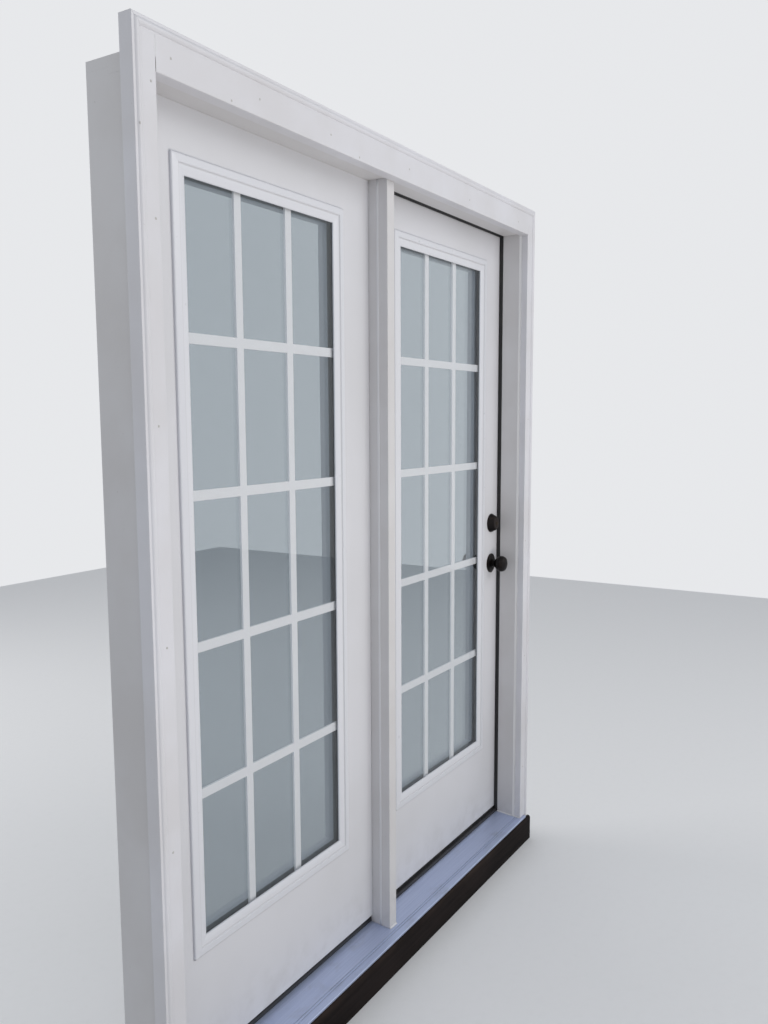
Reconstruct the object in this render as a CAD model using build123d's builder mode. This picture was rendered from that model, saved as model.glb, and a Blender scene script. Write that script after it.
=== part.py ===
"""A pair of glazed patio doors in one frame, one leaf fixed and one hinged at the middle post.

The frame holds a left leaf that is fixed and a right leaf that swings inwards on three hinges at
the middle post. Each leaf is a smooth slab with moulded lite frames, two panes and a flat grille
between them, three lights wide and five high. Sizes are in millimetres. X runs across the front
from left to right, Y runs into the room and Z runs up. The origin is the middle of the frame's
foot, in the plane that the door stops share.
"""
import os
from math import radians, tan

from build123d import *

os.makedirs("parts", exist_ok=True)

# Leaves
slab_w = 830.0            # width of each leaf
slab_h = 2019.0           # height of each leaf
slab_t = 44.5             # thickness over both skins
skin_t = 1.5              # one face skin
stile_w = 32.0            # edge timber at each side, inside the skins
top_rail_h = 38.0         # edge timber along the top
foot_rail_h = 62.0        # edge timber along the foot
lock_block_w = 92.0       # solid timber round the lock bores
lock_block_over = 75.0    # how far that block runs past the bores

# Glazing
stile_face = 160.0        # leaf's edge to clear glass, at the sides
top_rail_face = 143.0     # the same at the top
foot_rail_face = 288.0    # the same at the foot
lite_w = 39.0             # face width of a lite frame
lite_leg = 22.0           # part of that width that stands in the cut-out
lite_rise = 7.5           # height of its face above the skin
lite_fit = 0.3            # room between that leg and the cut-out
lite_edge_w = 3.0         # rounding along the outer edge of that face
lite_lip_w = 5.0          # bevel and flat between the face and the cove
lite_lip = 3.5            # outer frame's edge that stands on the glass
glass_in = 3.0            # outer pane's face, in from the leaf's outer face
pane_t = 3.0              # one pane
air_space = 10.0          # between the panes
glass_cover = 20.0        # how far the glass runs behind the lite frame
glass_fit = 0.2           # tape between lite frame and glass
spacer_w = 8.0            # spacer bar, across the edge
spacer_in = 4.0           # spacer's outer face, in from the glass edge
grille_w = 22.0           # flat grille bar
grille_t = 5.0            # its thickness
lights_across = 3
lights_up = 5

# Frame
edge_gap = 3.0            # leaf to rabbet
fixed_joint = 0.3         # fixed leaf to the middle post
jamb_web = 19.0           # frame timber beside the leaf
rabbet_w = 12.7           # step from that timber to the stop
stop_d = 58.5             # stop, from its shoulder out to the frame's front edge
seal_room = 13.0          # shoulder to the face of the hinged leaf, filled by the seal
post_web = 22.0           # middle post between the leaves
post_stop_d = 28.0        # depth of the post's own stop, behind its cover
post_edge_r = 2.0         # eased edges of the post cover
post_chamfer = 1.2        # its back edges, against the post
seat = 0.3                # room round timbers let into one another

# Foot of the frame
sub_sill_h = 75.0         # stained timber under the sill
sub_sill_nose = 104.0     # its front face, out from the shoulder plane
sub_sill_lip_h = 11.0     # upstand along its front
sub_sill_lip_w = 11.0
sub_sill_r = 8.0          # rounding of the upstand's front edge
sub_sill_chamfer = 1.5    # lower front edge
sill_back = 3.0           # back edge of the sloping sill, in from the shoulder plane
sill_drop = 18.7          # leaf's foot to that edge
sill_slope = 5.3          # fall of the sill, degrees
sill_nose = 97.0          # sill's front edge
sill_skin = 2.5           # metal thickness
sill_nose_r = 1.8
sill_groove_at = 71.0     # first groove behind the nose
sill_groove_w = 3.0
sill_groove_pitch = 7.2
sill_groove_d = 1.4
sill_grooves = 2
leaf_lift = 45.0          # leaf's foot above the timber sub-sill
foot_gap = 9.0            # leaf's foot to the threshold cap
cap_edge_r = 2.5

# Outside casing
reveal = 2.0              # frame edge left showing beside the casing
head_drop = 4.0           # head board's lower edge, below the head stop
casing_w = 32.0           # flat board at the sides
casing_head_h = 61.0      # flat board over the head
casing_t = 29.5
casing_edge_r = 2.0
band_w = 23.5             # moulding round the outer edge
band_t = 34.0
band_strip_w = 6.0        # flat strip along its outer edge
band_strip_in = 3.0       # that strip, behind the front of the bead
band_bead_w = 13.0        # rounded bead beside the strip
band_edge_r = 1.5

# Inside stops that hold the fixed leaf
stop_bead_w = 16.0
stop_bead_r = 5.0

# Weather seals
seal_bulge = 4.5          # how far the seal stands past the stop
seal_slack = 0.3          # seal to leaf
seal_back_r = 4.0         # rounding in the corner of the rabbet
seal_nose_r = 5.0         # rounding of the edge that shows
seal_inset = 0.3          # seal to the rabbet
kerf_w = 2.4              # slot that holds the seal's barb
kerf_d = 8.5
kerf_in = 5.0             # slot's far side, in from the rabbet
barb_w = 2.0
barb_d = 8.0
sweep_fins = 3
sweep_fin_t = 1.6
sweep_body_h = 4.5

# Hinges
hinge_h = 100.0
hinge_leaf_w = 35.0
hinge_leaf_t = 2.8
hinge_corner_r = 6.0
hinge_knuckles = 5
hinge_barrel_r = 6.5
hinge_pin_r = 3.2
hinge_pin_fit = 0.05
hinge_proud = 7.5         # pin axis beyond the inside face
hinge_play = 0.3          # between knuckles
hinge_seat = 0.05         # leaf in its pocket
hinge_top_down = 228.0    # middle of the top hinge below the leaf's top
hinge_foot_up = 330.0     # middle of the bottom hinge above the leaf's foot
pin_head_r = 5.6
pin_head_h = 3.5
pin_tip = 1.5             # pin's end below the lowest knuckle
pin_tip_bevel = 1.0
pin_head_edge = 1.2       # straight edge of the head

# Knob set and deadbolt
backset = 60.0            # bores in from the leaf's edge
knob_up = 900.0           # knob above the leaf's foot
bolt_over_knob = 140.0    # deadbolt above the knob
face_bore_r = 27.0
edge_bore_r = 12.7
rose_r = 33.0
rose_t = 9.0
rose_rim_t = 2.0
rose_rim_w = 6.0
knob_r = 27.0
knob_neck_r = 11.0
knob_neck_len = 7.0       # straight neck beyond the rose
knob_flare = 11.0         # from the neck's end to the rim
knob_rim_in = 5.0         # bulge of the rim past the knob's front
knob_dome = 6.0           # rise of the knob's front
neck_in = 1.0             # neck's end, off the leaf's face
knob_reach = 60.0         # knob's front beyond the leaf
turn_fit = 0.3            # turning pieces in their roses
spindle_a = 8.0           # square spindle
spindle_chamfer = 0.4
spindle_in = 18.0         # spindle's reach into each knob's neck
latch_case_r = 12.4
latch_case_wall = 1.8
latch_case_back = 14.0    # case runs past the spindle by this
latch_h = 14.0
latch_t = 12.4
latch_throw = 11.0
latch_bevel = 7.5
latch_tip_w = 2.5         # flat left at its tip
bolt_edge = 0.8           # eased ends of latch and deadbolt
latch_tail = 18.0         # tail of the latch from the spindle's axis
spindle_clear_r = 7.0
plate_w = 25.4            # face plates in the leaf's edge
plate_h = 57.0
plate_t = 2.5
slide_fit = 0.3           # bolts in their plates
bolt_h = 15.0
bolt_t = 12.4
bolt_throw = 25.4
bolt_tail = 10.0
bolt_set_back = 0.2       # bolt behind the face plate when drawn
housing_base_r = 32.0
housing_front_r = 20.5
housing_t = 22.0
housing_rim_t = 2.5       # straight edge at its foot, and bevel at its front
plug_r = 6.4
plug_fit = 0.05
plug_proud = 1.0
plug_in = 6.0             # housing and plug reach into the leaf
housing_boss_r = 25.0     # housing's boss in the leaf's bore
keyway_w = 1.8
keyway_h = 8.5
keyway_d = 3.0
tail_w = 6.0              # flat bar that links plug and thumb turn
tail_t = 2.4
tail_clear_r = 5.0
turn_plate_r = 30.0
turn_plate_t = 7.0
turn_hub_r = 8.5
turn_hub_in = 1.0         # hub's end, off the leaf's face
turn_hub_out = 3.0        # hub's end beyond the plate
turn_len = 36.0           # wing, end to end
turn_wing_t = 9.0
turn_wing_rise = 4.0      # from the hub's end to the wing's full length
turn_taper = 3.0          # wing's front, shorter at each end by this
turn_crown = 2.0          # bulge of that front
turn_edge_r = 2.0
turn_reach = 25.0
strike_w = 28.0
strike_h = 57.0
strike_t = 1.5
strike_lip_r = 4.0
strike_room = 2.0         # strike hole round the bolt
latch_pocket_d = 14.0

# Places across the unit, from the middle
half_post = (fixed_joint + post_web + edge_gap) / 2
post_x0 = -half_post + fixed_joint
post_x1 = post_x0 + post_web
post_stop_x1 = post_x1 + rabbet_w
fixed_x0 = -half_post - slab_w
door_x0 = half_post
door_x1 = door_x0 + slab_w
rabbet_x = door_x1 + edge_gap
stop_x = rabbet_x - rabbet_w
jamb_x = rabbet_x + jamb_web
casing_x = stop_x + reveal
band_x = casing_x + casing_w
outer_x = band_x + band_w
sill_end = band_x

# Places in depth, from the shoulder of the stops
frame_front = -stop_d
door_y = seal_room
inside_y = seal_room + slab_t
casing_front = frame_front - casing_t
band_front = frame_front - band_t

# Places up, from the underside of the sub-sill
leaf_z = sub_sill_h + leaf_lift
cap_z = leaf_z - foot_gap
sill_z = leaf_z - sill_drop
core_back_z = sill_z - sill_skin
leaf_top = leaf_z + slab_h
rabbet_z = leaf_top + edge_gap
stop_z = rabbet_z - rabbet_w
head_z = rabbet_z + jamb_web
casing_z = stop_z - head_drop
band_z = casing_z + casing_head_h
outer_z = band_z + band_w
lip_front = -sub_sill_nose
lip_back = lip_front + sub_sill_lip_w
fall = tan(radians(sill_slope))


def sill_at(y):
    """Height of the sloping sill's top at depth y."""
    return sill_z - (sill_back - y) * fall


def level(z):
    """A level plane at height z."""
    return Plane.XY.offset(z)


def across(x):
    """A plane square to the wall, with local x into the room and local y up."""
    return Plane.YZ.offset(x)


def facing(y):
    """A plane along the wall that looks out of the front."""
    return Plane.XZ.offset(-y)


def outward(x, y, z):
    """A plane for turned pieces: local x is the radius, local y runs out of the front."""
    return Plane(origin=(x, y, z), x_dir=(1, 0, 0), z_dir=(0, 0, -1))


def inward(x, y, z):
    """The same for the room side: local y runs into the room."""
    return Plane(origin=(x, y, z), x_dir=(1, 0, 0), z_dir=(0, 0, 1))


def block(x0, x1, y0, y1, z0, z1, mode=Mode.ADD):
    """Add or cut a straight block between two corners."""
    with Locations(((x0 + x1) / 2, (y0 + y1) / 2, (z0 + z1) / 2)):
        Box(x1 - x0, y1 - y0, z1 - z0, mode=mode)


def bore_through(x, z, radius, y0, y1):
    """Cut a round hole square to the leaf's faces."""
    with Locations(Location((x, (y0 + y1) / 2, z), (90, 0, 0))):
        Cylinder(radius, y1 - y0, mode=Mode.SUBTRACT)


def bore_across(x0, x1, y, z, radius):
    """Cut a round hole along the wall."""
    with Locations(Location(((x0 + x1) / 2, y, z), (0, 90, 0))):
        Cylinder(radius, x1 - x0, mode=Mode.SUBTRACT)


def save(piece, name):
    """Label a finished piece and write it under its name."""
    piece.label = name
    export_step(piece, f"parts/{name}.step")


# Sub-sill, a stained board with a rounded upstand along its front
with BuildPart() as sub_sill:
    with BuildSketch(across(-outer_x)):
        with BuildLine():
            Polyline(
                (lip_front, 0),
                (inside_y, 0),
                (inside_y, sub_sill_h),
                (lip_back, sub_sill_h),
                (lip_back, sub_sill_h + sub_sill_lip_h),
                (lip_front, sub_sill_h + sub_sill_lip_h),
                close=True,
            )
        make_face()
    extrude(amount=2 * outer_x)
    lip_edge = sub_sill.edges().filter_by(Axis.X).group_by(Axis.Z)[-1].sort_by(Axis.Y)[0]
    fillet(lip_edge, sub_sill_r)
    foot_edge = sub_sill.edges().filter_by(Axis.X).group_by(Axis.Z)[0].sort_by(Axis.Y)[0]
    chamfer(foot_edge, sub_sill_chamfer)
save(sub_sill.part, "sub_sill")


def clear_of_jambs():
    """Cut the sill's ends to the outline of the two jambs that pass down beside it."""
    top = leaf_z
    for side in (-1, 1):
        inner = sorted((side * (stop_x - seat), side * (sill_end + 1)))
        block(*inner, frame_front - seat, 0, 0, top, mode=Mode.SUBTRACT)
        inner = sorted((side * (rabbet_x - seat), side * (sill_end + 1)))
        block(*inner, 0, inside_y + 1, 0, top, mode=Mode.SUBTRACT)
        inner = sorted((side * (stop_x - seat), side * (rabbet_x - seat)))
        block(*inner, 0, seat, 0, top, mode=Mode.SUBTRACT)


# Sill core, the filling that the metal sill and the threshold cap are fixed to
core_front = lip_back + seat
with BuildPart() as sill_core:
    with BuildSketch(across(-sill_end)):
        with BuildLine():
            Polyline(
                (core_front, sub_sill_h),
                (inside_y, sub_sill_h),
                (inside_y, core_back_z),
                (sill_back, core_back_z),
                (core_front, sill_at(core_front) - sill_skin),
                close=True,
            )
        make_face()
    extrude(amount=2 * sill_end)
    clear_of_jambs()
save(sill_core.part, "sill_core")

# Metal sill, a sloping skin with two fine grooves and a turned-down nose
nose_z = sub_sill_h + sub_sill_lip_h
with BuildPart() as sill_extrusion:
    with BuildSketch(across(-sill_end)):
        with BuildLine():
            Polyline(
                (sill_back, core_back_z),
                (sill_back, sill_z),
                (-sill_nose, sill_at(-sill_nose)),
                (-sill_nose, nose_z),
                (-sill_nose + sill_skin, nose_z),
                (-sill_nose + sill_skin, sill_at(-sill_nose + sill_skin) - sill_skin),
                close=True,
            )
        make_face()
        for groove in range(sill_grooves):
            groove_y = -sill_groove_at - groove * sill_groove_pitch
            with Locations((groove_y, sill_at(groove_y))):
                Rectangle(sill_groove_w, 2 * sill_groove_d, mode=Mode.SUBTRACT)
    extrude(amount=2 * sill_end)
    nose_edge = sill_extrusion.edges().filter_by(Axis.X).group_by(Axis.Y)[0].sort_by(Axis.Z)[-1]
    fillet(nose_edge, sill_nose_r)
    clear_of_jambs()
save(sill_extrusion.part, "sill_extrusion")

# Threshold cap, under the leaves, with an eased front edge
with BuildPart() as threshold_cap:
    with BuildSketch(across(-sill_end)):
        with BuildLine():
            Polyline(
                (sill_back, core_back_z),
                (inside_y, core_back_z),
                (inside_y, cap_z),
                (sill_back, cap_z),
                close=True,
            )
        make_face()
    extrude(amount=2 * sill_end)
    cap_edges = threshold_cap.edges().filter_by(Axis.X).group_by(Axis.Z)[-1]
    fillet(cap_edges, cap_edge_r)
    clear_of_jambs()
save(threshold_cap.part, "threshold_cap")


def stand_on_sill():
    """Cut a foot to the slope of the sill and the flat of the threshold cap."""
    ahead = -sub_sill_nose - seat
    with BuildSketch(across(-sill_end - seat)) as foot:
        with BuildLine():
            Polyline(
                (ahead, 0),
                (sill_back, 0),
                (sill_back, sill_z),
                (ahead, sill_at(ahead)),
                close=True,
            )
        make_face()
    extrude(foot.sketch, amount=2 * (sill_end + seat), mode=Mode.SUBTRACT)
    block(-jamb_x, jamb_x, sill_back, inside_y + 1, 0, cap_z, mode=Mode.SUBTRACT)


# Head jamb, stepped like the side jambs, over the full width
with BuildPart() as jamb_head:
    block(-jamb_x, jamb_x, frame_front, 0, stop_z, head_z)
    block(-jamb_x, jamb_x, 0, inside_y, rabbet_z, head_z)
    kerf_z = rabbet_z - kerf_in
    block(post_x1, rabbet_x, -kerf_d, 0, kerf_z, kerf_z + kerf_w, mode=Mode.SUBTRACT)
save(jamb_head.part, "jamb_head")


def side_jamb():
    """The right jamb: a stop in front, the rabbet behind, cut under the head."""
    with BuildPart() as jamb:
        block(stop_x, jamb_x, frame_front, 0, sub_sill_h, stop_z)
        block(rabbet_x, jamb_x, 0, inside_y, sub_sill_h, rabbet_z)
    return jamb.part


# Left jamb, plain behind the fixed leaf
with BuildPart() as jamb_left:
    mirror(side_jamb(), about=Plane.YZ)
save(jamb_left.part, "jamb_left")

# Bolt and latch places
bore_x = door_x1 - backset
knob_z = leaf_z + knob_up
bolt_z = knob_z + bolt_over_knob
lock_y = door_y + slab_t / 2

# Right jamb, with a slot for the seal and pockets for latch, bolt and strike plates
with BuildPart() as jamb_right:
    add(side_jamb())
    kerf_x = rabbet_x - kerf_in
    block(kerf_x, kerf_x + kerf_w, -kerf_d, 0, cap_z, stop_z, mode=Mode.SUBTRACT)
    for pocket_z, tall, thick, deep in (
        (knob_z, latch_h, latch_t, latch_pocket_d),
        (bolt_z, bolt_h, bolt_t, bolt_throw - edge_gap + strike_room),
    ):
        half_y = thick / 2 + strike_room
        half_z = tall / 2 + strike_room
        low = pocket_z - half_z
        high = pocket_z + half_z
        block(rabbet_x, rabbet_x + deep, lock_y - half_y, lock_y + half_y, low, high, mode=Mode.SUBTRACT)
        plate_y1 = inside_y if pocket_z == knob_z else lock_y + strike_w / 2
        low = pocket_z - strike_h / 2
        high = pocket_z + strike_h / 2
        block(rabbet_x, rabbet_x + strike_t, lock_y - strike_w / 2, plate_y1, low, high, mode=Mode.SUBTRACT)
save(jamb_right.part, "jamb_right")

# Strike plates, the upper one flat for the bolt, the lower one with a curled lip for the latch
with BuildPart() as strike_plates:
    for plate_z, tall, thick in ((knob_z, latch_h, latch_t), (bolt_z, bolt_h, bolt_t)):
        z0 = plate_z - strike_h / 2
        z1 = plate_z + strike_h / 2
        if plate_z == knob_z:
            block(rabbet_x, rabbet_x + strike_t, lock_y - strike_w / 2, inside_y + seat, z0, z1)
            with BuildSketch(level(z0)):
                with BuildLine():
                    CenterArc((rabbet_x + strike_lip_r, inside_y + seat), strike_lip_r, 90, 90)
                    CenterArc((rabbet_x + strike_lip_r, inside_y + seat), strike_lip_r - strike_t, 90, 90)
                    Line((rabbet_x, inside_y + seat), (rabbet_x + strike_t, inside_y + seat))
                    Line(
                        (rabbet_x + strike_lip_r, inside_y + seat + strike_lip_r),
                        (rabbet_x + strike_lip_r, inside_y + seat + strike_lip_r - strike_t),
                    )
                make_face()
            extrude(amount=strike_h)
        else:
            block(rabbet_x, rabbet_x + strike_t, lock_y - strike_w / 2, lock_y + strike_w / 2, z0, z1)
        half_y = thick / 2 + strike_room
        half_z = tall / 2 + strike_room
        z0 = plate_z - half_z
        z1 = plate_z + half_z
        block(rabbet_x, rabbet_x + strike_t, lock_y - half_y, lock_y + half_y, z0, z1, mode=Mode.SUBTRACT)
save(strike_plates.part, "strike_plates")

# Hinge places
hinge_x = (post_x1 + door_x0) / 2
hinge_y = inside_y + hinge_proud
hinge_low = leaf_z + hinge_foot_up
hinge_high = leaf_top - hinge_top_down
hinge_zs = [hinge_low, (hinge_low + hinge_high) / 2, hinge_high]
knuckle_h = hinge_h / hinge_knuckles


def leaf_outline(z, grow):
    """A hinge leaf seen from the side, with its two inner corners rounded."""
    with BuildSketch() as outline:
        with BuildLine():
            FilletPolyline(
                (inside_y, z - hinge_h / 2 - grow),
                (inside_y - hinge_leaf_w - grow, z - hinge_h / 2 - grow),
                (inside_y - hinge_leaf_w - grow, z + hinge_h / 2 + grow),
                (inside_y, z + hinge_h / 2 + grow),
                radius=hinge_corner_r,
            )
            Line((inside_y, z + hinge_h / 2 + grow), (inside_y, z - hinge_h / 2 - grow))
        make_face()
    return outline.sketch


def hinge_pockets(x):
    """Cut the three pockets that take the hinge leaves, from depth x towards +X."""
    for z in hinge_zs:
        with BuildSketch(across(x)) as pocket:
            add(leaf_outline(z, hinge_seat))
        extrude(pocket.sketch, amount=hinge_leaf_t, mode=Mode.SUBTRACT)


# Middle post, with a stop towards the hinged leaf and pockets for the hinges
with BuildPart() as mullion_post:
    block(post_x0, post_stop_x1, -post_stop_d, 0, sub_sill_h, stop_z)
    block(post_x0, post_x1, 0, inside_y, sub_sill_h, rabbet_z)
    block(post_x1 + kerf_in - kerf_w, post_x1 + kerf_in, -kerf_d, 0, cap_z, stop_z, mode=Mode.SUBTRACT)
    stand_on_sill()
    hinge_pockets(post_x1 - hinge_leaf_t)
save(mullion_post.part, "mullion_post")

# Post cover, the flat strip on the front of the middle post
with BuildPart() as mullion_cover:
    with BuildSketch(level(sub_sill_h)):
        with Locations(((post_x0 + post_stop_x1) / 2, (frame_front - post_stop_d) / 2)):
            Rectangle(post_stop_x1 - post_x0, stop_d - post_stop_d)
    extrude(amount=stop_z - sub_sill_h)
    cover_edges = mullion_cover.edges().filter_by(Axis.Z)
    fillet(cover_edges.group_by(Axis.Y)[0], post_edge_r)
    chamfer(cover_edges.group_by(Axis.Y)[-1], post_chamfer)
    stand_on_sill()
save(mullion_cover.part, "mullion_cover")

# Side casing, a flat board from the sub-sill to the top, cut over the end of the metal sill
with BuildPart() as casing_right:
    with BuildSketch(level(sub_sill_h)):
        with Locations((casing_x + casing_w / 2, frame_front - casing_t / 2)):
            Rectangle(casing_w, casing_t)
    extrude(amount=band_z - sub_sill_h)
    inner_edge = casing_right.edges().filter_by(Axis.Z).group_by(Axis.Y)[0].sort_by(Axis.X)[0]
    fillet(inner_edge, casing_edge_r)
    stand_on_sill()
save(casing_right.part, "casing_right")

with BuildPart() as casing_left:
    mirror(casing_right.part, about=Plane.YZ)
save(casing_left.part, "casing_left")

# Head casing, between the two side boards
with BuildPart() as casing_head:
    block(-casing_x, casing_x, casing_front, frame_front, casing_z, band_z)
    lower_edge = casing_head.edges().filter_by(Axis.X).group_by(Axis.Z)[0].sort_by(Axis.Y)[0]
    fillet(lower_edge, casing_edge_r)
save(casing_head.part, "casing_head")


def band_profile():
    """Section of the outer moulding: flush with the board, then a rounded bead and a flat strip."""
    strip_y = band_front + band_strip_in
    bead_x1 = band_w - band_strip_w
    bead_x0 = bead_x1 - band_bead_w
    with BuildSketch() as profile:
        with BuildLine():
            Polyline((0, frame_front), (band_w, frame_front), (band_w, strip_y + band_edge_r))
            RadiusArc((band_w, strip_y + band_edge_r), (band_w - band_edge_r, strip_y), band_edge_r)
            Line((band_w - band_edge_r, strip_y), (bead_x1, strip_y))
            crown = ((bead_x0 + bead_x1) / 2, band_front)
            ThreePointArc((bead_x1, strip_y), crown, (bead_x0, casing_front))
            Polyline((bead_x0, casing_front), (0, casing_front), (0, frame_front))
        make_face()
    return profile.sketch


mitre_right = Plane(origin=(outer_x, 0, outer_z), z_dir=(-1, 0, 1))
mitre_left = Plane(origin=(-outer_x, 0, outer_z), z_dir=(1, 0, 1))

# Outer moulding at the sides, mitred at the top
with BuildPart() as band_right:
    with BuildSketch(Plane(origin=(band_x, 0, sub_sill_h), z_dir=(0, 0, 1))):
        add(band_profile())
    extrude(amount=outer_z - sub_sill_h)
    split(bisect_by=mitre_right, keep=Keep.BOTTOM)
save(band_right.part, "band_right")

with BuildPart() as band_left:
    mirror(band_right.part, about=Plane.YZ)
save(band_left.part, "band_left")

# Outer moulding over the head
with BuildPart() as band_head:
    with BuildSketch(Plane(origin=(outer_x, 0, band_z), x_dir=(0, 0, 1), z_dir=(-1, 0, 0))):
        add(band_profile())
    extrude(amount=2 * outer_x)
    split(bisect_by=mitre_right, keep=Keep.TOP)
    split(bisect_by=mitre_left, keep=Keep.TOP)
save(band_head.part, "band_head")


def seal_profile():
    """Section of the weather seal in a corner: local x leaves the rabbet, local y enters the room."""
    full = seal_room - seal_slack
    reach = rabbet_w + seal_bulge
    barb_out = kerf_in - (kerf_w - barb_w) / 2
    with BuildSketch() as profile:
        with BuildLine():
            Polyline(
                (rabbet_w, 0),
                (barb_out, 0),
                (barb_out, -barb_d),
                (barb_out - barb_w, -barb_d),
                (barb_out - barb_w, 0),
                (seal_inset, 0),
                (seal_inset, full - seal_back_r),
            )
            RadiusArc((seal_inset, full - seal_back_r), (seal_inset + seal_back_r, full), seal_back_r)
            Line((seal_inset + seal_back_r, full), (reach - seal_nose_r, full))
            RadiusArc((reach - seal_nose_r, full), (reach, full - seal_nose_r), seal_nose_r)
            Line((reach, full - seal_nose_r), (rabbet_w, 0))
        make_face()
    return profile.sketch


# Weather seal on the post, beside the hinges
with BuildPart() as weatherstrip_hinge_side:
    with BuildSketch(Plane(origin=(post_x1, 0, cap_z), z_dir=(0, 0, 1))):
        add(seal_profile())
    extrude(amount=rabbet_z - seal_inset - cap_z)
    block(post_x1, post_stop_x1, -stop_d, 0, stop_z, rabbet_z, mode=Mode.SUBTRACT)
save(weatherstrip_hinge_side.part, "weatherstrip_hinge_side")

# Weather seal on the right jamb
with BuildPart() as weatherstrip_latch_side:
    with BuildSketch(Plane(origin=(-rabbet_x, 0, cap_z), z_dir=(0, 0, 1))):
        add(seal_profile())
    extrude(amount=rabbet_z - seal_inset - cap_z)
    block(-rabbet_x, -stop_x, -stop_d, 0, stop_z, rabbet_z, mode=Mode.SUBTRACT)
    mirror(about=Plane.YZ, mode=Mode.REPLACE)
save(weatherstrip_latch_side.part, "weatherstrip_latch_side")

# Weather seal under the head, between the two at the sides
head_seal_x0 = post_stop_x1 + seal_bulge
head_seal_x1 = stop_x - seal_bulge
with BuildPart() as weatherstrip_head:
    with BuildSketch(Plane(origin=(head_seal_x0, 0, rabbet_z), x_dir=(0, 0, -1), z_dir=(1, 0, 0))):
        add(seal_profile())
    extrude(amount=head_seal_x1 - head_seal_x0)
save(weatherstrip_head.part, "weatherstrip_head")

# Inside stops round the fixed leaf, each with a rounded inner edge
bead_x0 = -rabbet_x
bead_x1 = post_x0
with BuildPart() as panel_stops:
    for x0, x1, z0, z1 in (
        (bead_x0, bead_x0 + stop_bead_w, cap_z, rabbet_z),
        (bead_x1 - stop_bead_w, bead_x1, cap_z, rabbet_z),
        (bead_x0 + stop_bead_w, bead_x1 - stop_bead_w, rabbet_z - stop_bead_w, rabbet_z),
        (bead_x0 + stop_bead_w, bead_x1 - stop_bead_w, cap_z, cap_z + foot_gap + stop_bead_w),
    ):
        with BuildPart(mode=Mode.PRIVATE) as bead:
            block(x0, x1, slab_t, inside_y, z0, z1)
            long_axis = Axis.Z if z1 - z0 > x1 - x0 else Axis.X
            short_axis = Axis.X if long_axis == Axis.Z else Axis.Z
            room_edges = bead.edges().filter_by(long_axis).group_by(Axis.Y)[-1].sort_by(short_axis)
            middle = (bead_x0 + bead_x1) / 2 if long_axis == Axis.Z else leaf_z + slab_h / 2
            centre = bead.part.center()
            lower_side = (centre.X if long_axis == Axis.Z else centre.Z) < middle
            fillet(room_edges[-1 if lower_side else 0], stop_bead_r)
        add(bead.part)
save(panel_stops.part, "panel_stops")

# Clear glass of one leaf, and its middle's height
light_w = slab_w - 2 * stile_face
light_h = slab_h - top_rail_face - foot_rail_face
light_mid = leaf_z + foot_rail_face + light_h / 2
glass_t = 2 * pane_t + air_space


def opening(width, height, x, y, depth, mode):
    """A rectangular block round the middle of the glass, from depth y into the room."""
    with Locations((x, y + depth / 2, light_mid)):
        Box(width, depth, height, mode=mode)


def lite_profile(glass_depth):
    """Section of a lite frame: local x runs in from its outer edge, local y stands off the skin."""
    inner = lite_w - lite_leg
    foot = glass_fit - glass_depth
    cove_end = glass_fit - glass_in + lite_lip
    edge_y = lite_rise / 2
    shoulder_y = lite_rise * 4 / 5
    lip_y = lite_rise * 3 / 5
    bevel_x = inner + lite_lip_w / 2
    cove_x = inner + lite_lip_w
    with BuildSketch() as profile:
        with BuildLine():
            Line((0, 0), (0, edge_y))
            RadiusArc((0, edge_y), (lite_edge_w, shoulder_y), lite_rise / 2)
            Polyline((lite_edge_w, shoulder_y), (inner, lite_rise), (bevel_x, lip_y), (cove_x, lip_y))
            RadiusArc((cove_x, lip_y), (lite_w, cove_end), 1.5 * lite_leg)
            Polyline((lite_w, cove_end), (lite_w, foot), (inner, foot), (inner, 0), (0, 0))
        make_face()
    return profile.sketch


def lite_ring(x, y, glass_depth):
    """Sweep the lite profile round the glass, on the leaf's outer face at depth y."""
    half_w = light_w / 2 + lite_w
    half_h = light_h / 2 + lite_w
    low = light_mid - half_h
    high = light_mid + half_h
    with BuildPart() as ring:
        with BuildLine() as path:
            Polyline(
                (x, y, low),
                (x + half_w, y, low),
                (x + half_w, y, high),
                (x - half_w, y, high),
                (x - half_w, y, low),
                (x, y, low),
            )
        start = Plane(origin=(x, y, low), x_dir=(0, 0, 1), z_dir=(1, 0, 0))
        with BuildSketch(start):
            add(lite_profile(glass_depth))
        sweep(path=path.wires()[0], transition=Transition.RIGHT)
    return ring.part


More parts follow.
